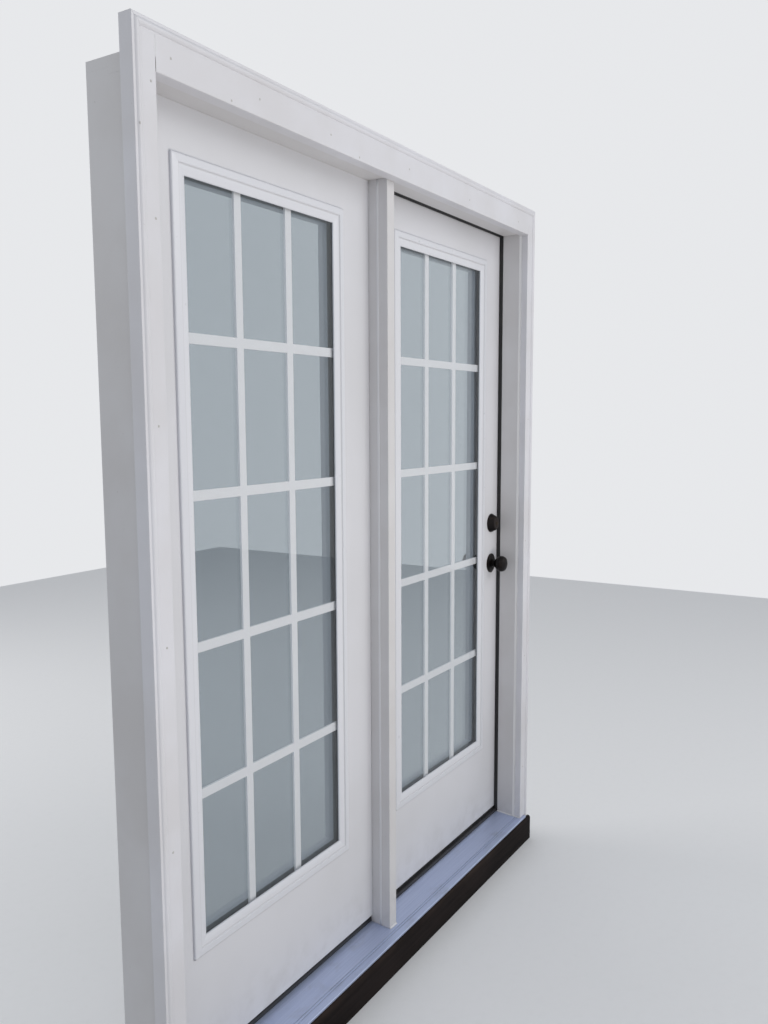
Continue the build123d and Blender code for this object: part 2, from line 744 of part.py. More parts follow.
def leaf(name, x0, y0, hinged):
    """Write one leaf's pieces: skins, timber edge, core, lite frames, glass, spacer and grille."""
    x1 = x0 + slab_w
    mid = (x0 + x1) / 2
    z0, z1 = leaf_z, leaf_top
    y1 = y0 + slab_t
    cut_w = light_w + 2 * (lite_leg + lite_fit)
    cut_h = light_h + 2 * (lite_leg + lite_fit)
    glass_w = light_w + 2 * glass_cover
    glass_h = light_h + 2 * glass_cover
    block_x0 = x1 - stile_w - lock_block_w
    block_z = (knob_z - lock_block_over, bolt_z + lock_block_over)

    for side, skin_y in (("outer", y0), ("inner", y1 - skin_t)):
        with BuildPart() as skin:
            block(x0, x1, skin_y, skin_y + skin_t, z0, z1)
            opening(cut_w, cut_h, mid, skin_y, skin_t, Mode.SUBTRACT)
            if hinged:
                bore_through(bore_x, knob_z, face_bore_r, skin_y, skin_y + skin_t)
                bore_through(bore_x, bolt_z, face_bore_r, skin_y, skin_y + skin_t)
                hinge_pockets(x0)
        save(skin.part, f"{name}_{side}_skin")

    with BuildPart() as edge_frame:
        inside = (y0 + skin_t, y1 - skin_t)
        block(x0, x0 + stile_w, *inside, z0, z1)
        block(x1 - stile_w, x1, *inside, z0, z1)
        block(x0 + stile_w, x1 - stile_w, *inside, z0, z0 + foot_rail_h)
        block(x0 + stile_w, x1 - stile_w, *inside, z1 - top_rail_h, z1)
        if hinged:
            block(block_x0, x1 - stile_w, *inside, *block_z)
            hinge_pockets(x0)
            for z in (knob_z, bolt_z):
                bore_through(bore_x, z, face_bore_r, y0, y1)
                bore_across(bore_x, x1, lock_y, z, edge_bore_r)
                plate_y = (lock_y - plate_w / 2, lock_y + plate_w / 2)
                plate_z = (z - plate_h / 2, z + plate_h / 2)
                block(x1 - plate_t, x1, *plate_y, *plate_z, mode=Mode.SUBTRACT)
    save(edge_frame.part, f"{name}_edge_frame")

    with BuildPart() as core:
        block(x0 + stile_w, x1 - stile_w, *inside, z0 + foot_rail_h, z1 - top_rail_h)
        opening(cut_w, cut_h, mid, y0, slab_t, Mode.SUBTRACT)
        if hinged:
            block(block_x0, x1 - stile_w, *inside, *block_z, mode=Mode.SUBTRACT)
    save(core.part, f"{name}_core")

    save(lite_ring(mid, y0, glass_in), f"{name}_outer_lite_frame")
    inner_ring = lite_ring(mid, y0, slab_t - glass_in - glass_t)
    save(mirror(inner_ring, about=facing(y0 + slab_t / 2)), f"{name}_inner_lite_frame")

    for side, pane_y in (("outer", glass_in), ("inner", glass_in + glass_t - pane_t)):
        with BuildPart() as pane:
            opening(glass_w, glass_h, mid, y0 + pane_y, pane_t, Mode.ADD)
        save(pane.part, f"{name}_{side}_pane")

    air_y = y0 + glass_in + pane_t
    frame_w = glass_w - 2 * spacer_in
    frame_h = glass_h - 2 * spacer_in
    clear_w = frame_w - 2 * spacer_w
    clear_h = frame_h - 2 * spacer_w
    with BuildPart() as spacer:
        opening(frame_w, frame_h, mid, air_y, air_space, Mode.ADD)
        opening(clear_w, clear_h, mid, air_y, air_space, Mode.SUBTRACT)
    save(spacer.part, f"{name}_spacer")

    with BuildPart() as grille:
        with BuildSketch(facing(air_y + (air_space + grille_t) / 2)):
            with Locations((mid, light_mid)):
                with GridLocations(clear_w / lights_across, 0, lights_across - 1, 1):
                    Rectangle(grille_w, clear_h)
                with GridLocations(0, clear_h / lights_up, 1, lights_up - 1):
                    Rectangle(clear_w, grille_w)
        extrude(amount=grille_t)
    save(grille.part, f"{name}_grille")


leaf("fixed", fixed_x0, 0, False)
leaf("door", door_x0, door_y, True)

# Seal under the fixed leaf
with BuildPart() as fixed_bottom_seal:
    block(fixed_x0, fixed_x0 + slab_w, sill_back + 1, slab_t - 1, cap_z, leaf_z)
save(fixed_bottom_seal.part, "fixed_bottom_seal")

# Sweep under the hinged leaf, a ribbed strip whose fins brush the threshold cap
with BuildPart() as door_sweep:
    sweep_y0 = door_y + 1
    sweep_y1 = inside_y - 1
    with BuildSketch(across(door_x0 + 1)):
        with Locations(((sweep_y0 + sweep_y1) / 2, leaf_z - sweep_body_h / 2)):
            Rectangle(sweep_y1 - sweep_y0, sweep_body_h)
        fin_h = foot_gap - sweep_body_h - seat
        fin_pitch = (sweep_y1 - sweep_y0 - sweep_fin_t) / (sweep_fins - 1)
        for fin in range(sweep_fins):
            fin_y = sweep_y0 + sweep_fin_t / 2 + fin * fin_pitch
            with Locations((fin_y, leaf_z - sweep_body_h - fin_h / 2)):
                Rectangle(sweep_fin_t, fin_h)
    extrude(amount=slab_w - 2)
save(door_sweep.part, "door_sweep")


def hinge_leaves(x0, first):
    """One side of all three hinges: plates and every second knuckle, bored for the pin."""
    with BuildPart() as leaves:
        for z in hinge_zs:
            with BuildSketch(across(x0)):
                add(leaf_outline(z, 0))
            extrude(amount=hinge_leaf_t)
            for knuckle in range(first, hinge_knuckles, 2):
                low = z - hinge_h / 2 + knuckle * knuckle_h + hinge_play / 2
                high = low + knuckle_h - hinge_play
                with Locations((hinge_x, hinge_y, (low + high) / 2)):
                    Cylinder(hinge_barrel_r, high - low)
                block(x0, x0 + hinge_leaf_t, inside_y - 1, hinge_y - hinge_pin_r, low, high)
            with Locations((hinge_x, hinge_y, z)):
                Cylinder(hinge_pin_r + hinge_pin_fit, hinge_h + 2, mode=Mode.SUBTRACT)
    return leaves.part


save(hinge_leaves(post_x1 - hinge_leaf_t, 0), "hinge_jamb_leaves")
save(hinge_leaves(door_x0, 1), "hinge_door_leaves")

# Hinge pins, each with a button head and a rounded tip
with BuildPart() as hinge_pins:
    for z in hinge_zs:
        with BuildSketch(Plane(origin=(hinge_x, hinge_y, z), x_dir=(1, 0, 0), z_dir=(0, -1, 0))):
            with BuildLine():
                Polyline(
                    (0, -hinge_h / 2 - pin_tip),
                    (hinge_pin_r - pin_tip_bevel, -hinge_h / 2 - pin_tip),
                    (hinge_pin_r, -hinge_h / 2 - pin_tip + pin_tip_bevel),
                    (hinge_pin_r, hinge_h / 2 + hinge_play),
                    (pin_head_r, hinge_h / 2 + hinge_play),
                    (pin_head_r, hinge_h / 2 + pin_head_edge),
                )
                TangentArc(
                    (0, hinge_h / 2 + pin_head_h),
                    (pin_head_r, hinge_h / 2 + pin_head_edge),
                    tangent=(1, 0),
                )
                Line((0, hinge_h / 2 + pin_head_h), (0, -hinge_h / 2 - pin_tip))
            make_face()
        revolve(axis=Axis((hinge_x, hinge_y, z), (0, 0, 1)))
save(hinge_pins.part, "hinge_pins")


def turned(plane, draw):
    """Turn the outline that draw() makes about the plane's local y axis."""
    with BuildPart() as piece:
        with BuildSketch(plane):
            add(draw())
        revolve(axis=Axis(plane.origin, plane.y_dir))
    return piece.part


def rose_outline():
    """Half section of a rose: a flat rim, a bevelled step and a domed middle round the neck's hole."""
    hole = knob_neck_r + turn_fit
    with BuildSketch() as half:
        with BuildLine():
            Polyline((hole, 0), (rose_r, 0), (rose_r, rose_rim_t), (rose_r - rose_rim_w, rose_rim_t * 2))
            RadiusArc((rose_r - rose_rim_w, rose_rim_t * 2), (hole + turn_fit, rose_t), -rose_r)
            Polyline((hole + turn_fit, rose_t), (hole, rose_t), (hole, 0))
        make_face()
    return half.sketch


def knob_outline():
    """Half section of a round knob on a flared neck, with a rolled rim and a slightly domed front."""
    neck_end = rose_t + knob_neck_len
    rim_y0 = neck_end + knob_flare
    rim_y1 = knob_reach - knob_dome
    face_r = knob_r - knob_rim_in
    with BuildSketch() as half:
        with BuildLine():
            Polyline((0, neck_in), (knob_neck_r, neck_in), (knob_neck_r, neck_end), (face_r, rim_y0))
            ThreePointArc((face_r, rim_y0), (knob_r, (rim_y0 + rim_y1) / 2), (face_r, rim_y1))
            TangentArc((0, knob_reach), (face_r, rim_y1), tangent=(1, 0))
            Line((0, knob_reach), (0, neck_in))
        make_face()
    return half.sketch


knob_planes = {"outer": outward(bore_x, door_y, knob_z), "inner": inward(bore_x, inside_y, knob_z)}
for side, plane in knob_planes.items():
    save(turned(plane, rose_outline), f"{side}_rose")
    with BuildPart() as knob:
        add(turned(plane, knob_outline))
        socket = spindle_in / 2
        with Locations(plane.origin + plane.y_dir * socket):
            Box(spindle_a, spindle_in, spindle_a, mode=Mode.SUBTRACT)
    save(knob.part, f"{side}_knob")

# Square spindle through the latch, from knob to knob
with BuildPart() as knob_spindle:
    with Locations((bore_x, lock_y, knob_z)):
        Box(spindle_a, slab_t + 2 * spindle_in, spindle_a)
    chamfer(knob_spindle.edges().filter_by(Axis.Y), spindle_chamfer)
save(knob_spindle.part, "knob_spindle")


def tube_case(z, clear_r):
    """The round case in the leaf's edge, with a hole across it for the turning bar."""
    start = bore_x - latch_case_back
    end = door_x1 - plate_t
    with BuildPart() as case:
        with Locations(Location(((start + end) / 2, lock_y, z), (0, 90, 0))):
            Cylinder(latch_case_r, end - start)
        bore_across(start + latch_case_wall, end, lock_y, z, latch_case_r - latch_case_wall)
        bore_through(bore_x, z, clear_r, lock_y - latch_case_r, lock_y + latch_case_r)
    return case.part


save(tube_case(knob_z, spindle_clear_r), "latch_case")
save(tube_case(bolt_z, tail_clear_r), "deadbolt_case")

# Face plates in the leaf's edge, each with an opening for its bolt
with BuildPart() as lock_faceplates:
    for z, tall, thick in ((knob_z, latch_h, latch_t), (bolt_z, bolt_h, bolt_t)):
        with BuildSketch(across(door_x1 - plate_t)):
            with Locations((lock_y, z)):
                Rectangle(plate_w, plate_h)
                Rectangle(thick + 2 * slide_fit, tall + 2 * slide_fit, mode=Mode.SUBTRACT)
        extrude(amount=plate_t)
save(lock_faceplates.part, "lock_faceplates")

# Latch bolt, bevelled towards the stop so that it rides over the strike
latch_tip = door_x1 + latch_throw
with BuildPart() as latch_bolt:
    with BuildSketch(level(knob_z - latch_h / 2)):
        with BuildLine():
            Polyline(
                (bore_x + latch_tail, lock_y - latch_t / 2),
                (latch_tip - latch_bevel, lock_y - latch_t / 2),
                (latch_tip, lock_y + latch_t / 2 - latch_tip_w),
                (latch_tip, lock_y + latch_t / 2),
                (bore_x + latch_tail, lock_y + latch_t / 2),
                close=True,
            )
        make_face()
    extrude(amount=latch_h)
    fillet(latch_bolt.edges().filter_by(Axis.Z).sort_by(Axis.X)[-2:], bolt_edge)
save(latch_bolt.part, "latch_bolt")

# Deadbolt, drawn back behind its face plate
with BuildPart() as deadbolt:
    bolt_y = (lock_y - bolt_t / 2, lock_y + bolt_t / 2)
    block(bore_x + bolt_tail, door_x1 - bolt_set_back, *bolt_y, bolt_z - bolt_h / 2, bolt_z + bolt_h / 2)
    chamfer(deadbolt.faces().sort_by(Axis.X)[-1].edges(), bolt_edge)
save(deadbolt.part, "deadbolt")


def housing_outline():
    """Half section of the outside housing: a boss in the leaf, a tapered ring and a bevelled front."""
    hole = plug_r + plug_fit
    with BuildSketch() as half:
        with BuildLine():
            Polyline(
                (hole, -plug_in),
                (housing_boss_r, -plug_in),
                (housing_boss_r, 0),
                (housing_base_r, 0),
                (housing_base_r, housing_rim_t),
                (housing_front_r + housing_rim_t, housing_t - housing_rim_t),
                (housing_front_r, housing_t),
                (hole, housing_t),
                close=True,
            )
        make_face()
    return half.sketch


# Deadbolt housing outside
save(turned(outward(bore_x, door_y, bolt_z), housing_outline), "deadbolt_housing")

# Key plug in the housing, with its keyway
plug_front = door_y - housing_t - plug_proud
with BuildPart() as key_plug:
    with Locations(Location((bore_x, (plug_front + door_y + plug_in) / 2, bolt_z), (90, 0, 0))):
        Cylinder(plug_r, door_y + plug_in - plug_front)
    with Locations((bore_x, plug_front + keyway_d / 2, bolt_z)):
        Box(keyway_w, keyway_d, keyway_h, mode=Mode.SUBTRACT)
save(key_plug.part, "key_plug")

# Flat bar that turns the bolt, from plug to thumb turn
tail_end = inside_y + turn_plate_t + turn_hub_out
bar_z = (bolt_z - tail_w / 2, bolt_z + tail_w / 2)
with BuildPart() as deadbolt_tailpiece:
    block(bore_x - tail_t / 2, bore_x + tail_t / 2, door_y + plug_in, tail_end, *bar_z)
save(deadbolt_tailpiece.part, "deadbolt_tailpiece")


def turn_plate_outline():
    """Half section of the inside plate behind the thumb turn."""
    hole = turn_hub_r + turn_fit
    with BuildSketch() as half:
        with BuildLine():
            Polyline(
                (hole, 0),
                (turn_plate_r, 0),
                (turn_plate_r, rose_rim_t),
                (turn_plate_r - rose_rim_w, turn_plate_t),
                (hole, turn_plate_t),
                close=True,
            )
        make_face()
    return half.sketch


save(turned(inward(bore_x, inside_y, bolt_z), turn_plate_outline), "thumb_turn_plate")

# Thumb turn, a hub with a flat oval wing
hub_y0 = inside_y + turn_hub_in
front_y = inside_y + turn_reach
half_front = turn_len / 2 - turn_taper
with BuildPart() as thumb_turn:
    with Locations(Location((bore_x, (hub_y0 + tail_end) / 2, bolt_z), (90, 0, 0))):
        Cylinder(turn_hub_r, tail_end - hub_y0)
    with BuildSketch(across(bore_x - turn_wing_t / 2)):
        with BuildLine():
            Polyline(
                (tail_end, bolt_z + turn_hub_r),
                (tail_end, bolt_z - turn_hub_r),
                (tail_end + turn_wing_rise, bolt_z - turn_len / 2),
                (front_y, bolt_z - half_front),
            )
            ThreePointArc(
                (front_y, bolt_z - half_front),
                (front_y + turn_crown, bolt_z),
                (front_y, bolt_z + half_front),
            )
            Polyline(
                (front_y, bolt_z + half_front),
                (tail_end + turn_wing_rise, bolt_z + turn_len / 2),
                (tail_end, bolt_z + turn_hub_r),
            )
        make_face()
    extrude(amount=turn_wing_t)
    fillet(thumb_turn.faces().sort_by(Axis.Y)[-1].edges(), turn_edge_r)
    block(bore_x - tail_t / 2, bore_x + tail_t / 2, inside_y, tail_end, *bar_z, mode=Mode.SUBTRACT)
save(thumb_turn.part, "thumb_turn")
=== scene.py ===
# %% [markdown]
# # A pair of patio doors in one frame
# The unit stands on a dark timber sub-sill. Its left leaf is fixed, its right leaf swings into the
# room on three hinges at the middle post. Every solid comes from the measured frame, so the looks
# can't drift from the sizes. This file adds the finishes, the fixings and the sealant, then a camera
# and a plain studio.

# %% Load the measured frame
import math

import bmesh
import bpy
import numpy as np
from mathutils import Matrix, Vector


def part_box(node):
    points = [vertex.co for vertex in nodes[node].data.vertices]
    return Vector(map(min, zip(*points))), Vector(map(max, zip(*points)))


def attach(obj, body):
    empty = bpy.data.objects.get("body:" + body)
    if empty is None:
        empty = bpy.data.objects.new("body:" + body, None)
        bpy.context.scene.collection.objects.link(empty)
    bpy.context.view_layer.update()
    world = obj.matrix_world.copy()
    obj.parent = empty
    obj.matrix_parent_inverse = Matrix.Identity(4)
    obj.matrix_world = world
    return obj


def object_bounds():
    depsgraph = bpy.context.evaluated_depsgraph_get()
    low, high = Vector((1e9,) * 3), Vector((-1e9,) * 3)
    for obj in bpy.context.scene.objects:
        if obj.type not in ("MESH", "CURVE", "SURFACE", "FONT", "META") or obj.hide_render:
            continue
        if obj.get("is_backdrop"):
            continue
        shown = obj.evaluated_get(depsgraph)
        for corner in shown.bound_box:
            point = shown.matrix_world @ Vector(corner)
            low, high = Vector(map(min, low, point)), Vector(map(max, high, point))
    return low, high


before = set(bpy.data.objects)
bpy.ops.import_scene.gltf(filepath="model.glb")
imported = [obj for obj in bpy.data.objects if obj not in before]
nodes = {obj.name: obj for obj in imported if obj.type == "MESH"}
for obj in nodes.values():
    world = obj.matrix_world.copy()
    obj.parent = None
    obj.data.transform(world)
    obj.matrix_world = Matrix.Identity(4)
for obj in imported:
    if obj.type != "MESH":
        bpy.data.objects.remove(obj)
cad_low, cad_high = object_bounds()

MM = 0.001
print("pieces:", len(nodes), "height:", round(cad_high[2] - cad_low[2], 3), "m")

# %% [markdown]
# ## Where things are
# Screws, sealant and nail marks sit on other pieces. Their places could be typed in as numbers, but
# those would go wrong as soon as a size changed. So they are read from the solids: a box gives a
# piece's lowest and highest corners, and a ray finds how far out a moulded face stands.

# %% Read the places that later cells need
leaf_low, leaf_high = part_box("door_outer_skin")
inner_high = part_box("door_inner_skin")[1]
casing_low, casing_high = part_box("casing_right")
head_low, head_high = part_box("casing_head")
band_low, band_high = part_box("band_right")
jamb_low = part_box("jamb_right")[0]
cover_low, cover_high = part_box("mullion_cover")
sill_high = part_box("sill_extrusion")[1]
foot_low, foot_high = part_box("sub_sill")
SILL_ANGLE = 5.3
SILL_FALL = math.tan(math.radians(SILL_ANGLE))


def sill_top(y):
    """Height of the sloping sill at depth y, which falls from its back edge to the front."""
    return sill_high.z - (sill_high.y - y) * SILL_FALL


def surface_depth(names, x, z, facing):
    """Depth y at which a line along y through (x, z) first meets the named solids. The line starts
    a metre outside (facing = -1) or a metre inside the room (facing = 1)."""
    depths = []
    for name in names:
        met, spot, _, _ = nodes[name].ray_cast((x, facing, z), (0, -facing, 0))
        if met:
            depths.append(spot.y)
    return max(depths, key=lambda depth: facing * depth)


print("leaf:", round(leaf_high.x - leaf_low.x, 4), "by", round(leaf_high.z - leaf_low.z, 4), "m")

# %% [markdown]
# ## Camera
# The photograph was taken from the left, at head height, a little over a metre in front of the
# doors. The view could be matched by eye, but on long straight edges a small error of angle shows.
# So a lens was fitted to the straight edges: the fit gives the camera's place, its three angles and
# its focal length, written here for a 36 mm film side along the 1024 pixels of the picture's height.

# %% Place the camera
EYE = (-2.0316, -1.2959, 1.5187)
LOOK_DOWN = 0.1175
ROLL = 0.0044
TURN = -1.0157

camera_data = bpy.data.cameras.new("photo_camera")
camera_data.lens = 31.5
camera_data.sensor_width = 36.0
camera_data.clip_start = 0.02
camera_data.shift_x = 0.0006
camera_data.shift_y = 0.0125
camera = bpy.data.objects.new("photo_camera", camera_data)
camera.location = EYE
camera.rotation_euler = (math.pi / 2 - LOOK_DOWN, ROLL, TURN)
bpy.context.scene.collection.objects.link(camera)
bpy.context.scene.camera = camera
print("camera at", EYE, "with a lens of", camera_data.lens, "mm")

# %% [markdown]
# ## Shader maths
# A material is a graph of nodes. It could be wired by hand, or node by node in code, but neither
# reads like the recipe that it is. The class Link wraps one output, so that sums and products of
# links read as sums and products. The class Graph adds any other kind of node. The class Finish is
# the graph of one material, with short names for the nodes that most finishes use.

# %% Colours as a screen shows them


def srgb(red, green, blue):
    """Linear colour of a screen colour given from 0 to 255. With c from 0 to 1 it is c / 12.92 up to
    0.04045, and ((c + 0.055) / 1.055) to the power of 2.4 above."""
    screen = np.array([red, green, blue]) / 255
    linear = np.where(screen <= 0.04045, screen / 12.92, ((screen + 0.055) / 1.055) ** 2.4)
    return (*linear.tolist(), 1.0)


print("a screen's middle grey is", round(srgb(128, 128, 128)[0], 3), "in linear light")

# %% Sums and products of sockets


class Link:
    """An output socket of a graph. Operators on it add Math nodes."""

    def __init__(self, graph, socket):
        self.graph = graph
        self.socket = socket

    def math(self, operation, *terms):
        return self.graph.node("Math", {"operation": operation}, dict(enumerate(terms)))

    def __add__(self, other):
        return self.math("ADD", self, other)

    __radd__ = __add__

    def __sub__(self, other):
        return self.math("SUBTRACT", self, other)

    def __rsub__(self, other):
        return self.math("SUBTRACT", other, self)

    def __mul__(self, other):
        return self.math("MULTIPLY", self, other)

    __rmul__ = __mul__

    def __gt__(self, other):
        return self.math("GREATER_THAN", self, other)

    def __lt__(self, other):
        return self.math("LESS_THAN", self, other)

    def smaller(self, other):
        return self.math("MINIMUM", self, other)

    def size(self):
        return self.math("ABSOLUTE", self)

    def fraction(self):
        return self.math("FRACT", self)


print("Link:", Link.__doc__)

# %% Graphs of nodes


class Graph:
    """A node tree that is being filled. It starts empty."""

    def __init__(self, tree):
        self.tree = tree
        tree.nodes.clear()

    def node(self, kind, settings=None, sockets=None, out=0):
        """Add a node: its settings first, then a value or a link for each named socket. The link
        that comes back is its output called out."""
        made = self.tree.nodes.new("ShaderNode" + kind)
        for key, value in (settings or {}).items():
            setattr(made, key, value)
        for key, value in (sockets or {}).items():
            if isinstance(value, Link):
                self.tree.links.new(value.socket, made.inputs[key])
            else:
                made.inputs[key].default_value = value
        return Link(self, made.outputs[out]) if len(made.outputs) else None

    def seen(self):
        """1 for rays from the camera and for those that glass and metal send on, 0 for the rest."""
        kinds = ("Camera", "Glossy", "Transmission")
        return sum(self.node("LightPath", out=f"Is {kind} Ray") for kind in kinds) > 0.5


print("Graph:", Graph.__doc__)

# %% Finishes


class Finish(Graph):
    """The graph of one material. The link where is the point's place on the piece, in metres."""

    def __init__(self, name):
        self.material = bpy.data.materials.new(name)
        self.material.use_nodes = True
        super().__init__(self.material.node_tree)
        self.where = self.node("TexCoord", out="Object")

    def axis(self, letter):
        """One coordinate of the point, in metres."""
        return self.node("SeparateXYZ", {}, {0: self.where}, out=letter)

    def noise(self, scale, stretch=(1, 1, 1), detail=4.0, roughness=0.55, shift=0.0):
        """Cloudy noise from 0 to 1: scale lumps to the metre, before stretch squeezes each axis."""
        spot = self.node(
            "Mapping", {}, {"Vector": self.where, "Location": (shift,) * 3, "Scale": stretch})
        return self.node(
            "TexNoise", {}, {"Vector": spot, "Scale": scale, "Detail": detail, "Roughness": roughness})

    def ramp(self, value, start, end):
        """0 up to start and 1 from end on, with a smooth step between; start may be the larger."""
        rising = end > start
        span = {"From Min": min(start, end), "From Max": max(start, end)}
        steps = {"To Min": float(not rising), "To Max": float(rising)}
        return self.node(
            "MapRange", {"interpolation_type": "SMOOTHSTEP"}, {"Value": value, **span, **steps})

    def mix(self, share, first, second):
        """first where share is 0 and second where it is 1. A Mix node has its colours at 6 and 7."""
        return self.node("Mix", {"data_type": "RGBA"}, {0: share, 6: first, 7: second}, out=2)

    def crevice(self, reach):
        """1 in the open and down to 0 in corners narrower than reach."""
        return self.node("AmbientOcclusion", {"samples": 6}, {"Distance": reach}, out="AO")

    def soft_edge(self, radius):
        """The surface's normal, as if its edges were rounded to that radius."""
        return self.node("Bevel", {"samples": 4}, {"Radius": radius})

    def bump(self, height, depth, normal=None):
        """Normal of a surface whose height runs from 0 to depth metres, on top of another normal."""
        sockets = {"Height": height, "Distance": depth}
        if normal is not None:
            sockets["Normal"] = normal
        return self.node("Bump", {}, sockets)

    def show(self, colour, roughness, normal=None, **plain):
        """Join the parts in one Principled shader; plain holds its unchanging sockets."""
        sockets = {"Base Color": colour, "Roughness": roughness}
        sockets.update({key.replace("_", " "): value for key, value in plain.items()})
        if normal is not None:
            sockets["Normal"] = normal
        return self.cover(self.node("BsdfPrincipled", {}, sockets))

    def cover(self, shader):
        """Send a shader to the material's surface."""
        self.node("OutputMaterial", {}, {"Surface": shader})
        return self.material


print("Finish:", Finish.__doc__)

# %% [markdown]
# ## Painted timber
# The frame, the casing and the beads are softwood under two coats of white satin paint. Close to, a
# brushed coat shows faint strokes along each board and splashes near its foot, and its corners are
# greyed by painted shade. The frame's own pieces take the casing's paint in a darker, warmer white,
# as painted shade for the depth at which they sit.
# A picture of paint would repeat along such boards and smear over their edges, so the paint is made
# of noise. The strokes are noise that is squeezed along the board, used as a bump of less than a
# tenth of a millimetre. Where the casing's boards meet, the paint has cracked along the butt joints
# and the mitres.

# %% Paint on timber
CASING_WHITES = (srgb(210, 211, 218), srgb(203, 203, 208))
# The casing's paint written darker and warmer: painted shade for the frame, which sits deeper.
SHADED_FRAME_WHITES = (srgb(203, 203, 206), srgb(197, 196, 198))
# A grey-brown for real grime, splashes and cracks, also used for painted shade in corners and under
# edges.
GRIME_AND_SHADE = srgb(118, 112, 104)
SPLASH_REACH = 160 * MM
CRACK = 0.5 * MM
CRACK_RISE = 25 * MM
UPRIGHT = (1, 1, 0.02)
LEVEL = (0.02, 1, 1)


def board_joints(paint):
    """1 on two hairlines: |x| = the casing's inner edge, for a little way up the butt joint with the
    head board, and |x| - z = its value at the band's outer corner, which is the mitre."""
    side = paint.axis("X").size()
    height = paint.axis("Z")
    opened = paint.ramp(height, head_low.z + CRACK_RISE, head_low.z + 0.6 * CRACK_RISE)
    butt = paint.ramp((side - casing_low.x).size(), CRACK, 0) * (height > head_low.z) * opened
    corner = band_high.x - band_high.z
    mitre = paint.ramp((side - height - corner).size(), CRACK, 0) * (side > band_low.x)
    return (butt + mitre) * paint.ramp(paint.noise(50, shift=9.0), 0.3, 0.5)


def painted_timber(name, squeeze, whites, jointed=False):
    """Brushed paint in two whites; squeeze has a small number along the board and 1 across it."""
    paint = Finish(name)
    strokes = paint.noise(420, squeeze, detail=3)
    patches = paint.ramp(paint.noise(5, detail=3), 0.3, 0.7)
    # Painted shade: grey where ambient occlusion finds a corner.
    corners = paint.ramp(paint.crevice(16 * MM), 0.62, 0.18)
    smudges = paint.ramp(paint.noise(22, detail=5, shift=7.0), 0.42, 0.68)
    splashes = paint.ramp(paint.axis("Z"), foot_high.z + SPLASH_REACH, foot_high.z) * smudges
    specks = paint.ramp(paint.noise(130, detail=2, shift=3.0), 0.74, 0.80)
    grey = corners * 0.5 + splashes * 0.12 + specks * 0.2
    if jointed:
        grey = grey + board_joints(paint) * 0.6
    colour = paint.mix(grey, paint.mix(patches, *whites), GRIME_AND_SHADE)
    roughness = 0.36 + strokes * 0.12 + splashes * 0.2
    normal = paint.bump(strokes, 0.09 * MM, paint.soft_edge(0.7 * MM))
    return paint.show(colour, roughness, normal)


upright_paint = painted_timber("paint_on_upright_board", UPRIGHT, SHADED_FRAME_WHITES)
level_paint = painted_timber("paint_on_level_board", LEVEL, SHADED_FRAME_WHITES)
side_casing_paint = painted_timber("paint_on_side_casing", UPRIGHT, CASING_WHITES, jointed=True)
head_casing_paint = painted_timber("paint_on_head_casing", LEVEL, CASING_WHITES, jointed=True)
print("white paint is", [round(value, 3) for value in CASING_WHITES[0][:3]])

# %% [markdown]
# ## Leaf skins
# Each leaf is faced with a smooth moulded skin. It could share the timber's paint, but it is flatter
# and more even than that, with a very fine orange peel from the spray gun, and it picks up splashes
# near its foot. So it has a finish of its own, with dimples in place of strokes.

# %% Skin of the leaves
SKIN_WHITES = (srgb(208, 209, 215), srgb(203, 204, 209))


def leaf_skin():
    """Sprayed white: a fine dimpled bump, a slow change of tone, and grey near the foot."""
    skin = Finish("sprayed_leaf_skin")
    peel = skin.noise(620, detail=2)
    clouds = skin.ramp(skin.noise(2.2, detail=3), 0.35, 0.65)
    smudges = skin.ramp(skin.noise(16, detail=5, shift=4.0), 0.4, 0.7)
    splashes = skin.ramp(skin.axis("Z"), leaf_low.z + SPLASH_REACH, leaf_low.z) * smudges
    # Painted shade: grey where ambient occlusion finds a corner.
    corners = skin.ramp(skin.crevice(12 * MM), 0.5, 0.1)
    grey = splashes * 0.12 + corners * 0.25
    colour = skin.mix(grey, skin.mix(clouds, *SKIN_WHITES), GRIME_AND_SHADE)
    roughness = 0.33 + splashes * 0.25 + peel * 0.05
    return skin.show(colour, roughness, skin.bump(peel, 0.04 * MM, skin.soft_edge(0.6 * MM)))


skin_finish = leaf_skin()
print("finish:", skin_finish.name)

# %% [markdown]
# ## Lite frames and grille
# The frames round the glass are moulded plastic, smooth and cool in tone. In soft light their
# shallow steps nearly vanish, and it is the shade that falls in them that shows them. It could be
# painted by hand. Here it is painted shade that follows the shape: grey where a point's distance in
# from the frame's outer edge is that of the step, with painted shadow under the lower edge and
# painted shade in every groove. The flat grille bars between the panes are enamelled metal, so they
# keep a slight shine and stay clean.

# %% Moulded plastic and enamel
LITE_WHITE = srgb(210, 212, 219)
GRILLE_WHITE = srgb(234, 235, 240)
BEVEL_INSET = 19.5 * MM
BEVEL_SHADE = (2.4 * MM, 1.0 * MM)
EDGE_SHADOW = (4.0 * MM, 1.0 * MM)


def moulded_white(name, colour, roughness, dust_and_shade=None):
    """Even white with a faint ripple, painted shade in its grooves, and any extra grey passed in."""
    plastic = Finish(name)
    ripple = plastic.noise(60, detail=2)
    # Painted shade: grey in grooves, where ambient occlusion finds a corner.
    grey = plastic.ramp(plastic.crevice(8 * MM), 0.5, 0.1) * 0.25
    if dust_and_shade is not None:
        grey = grey + dust_and_shade(plastic)
    normal = plastic.bump(ripple, 0.05 * MM, plastic.soft_edge(0.6 * MM))
    return plastic.show(plastic.mix(grey, colour, GRIME_AND_SHADE), roughness + ripple * 0.05, normal)


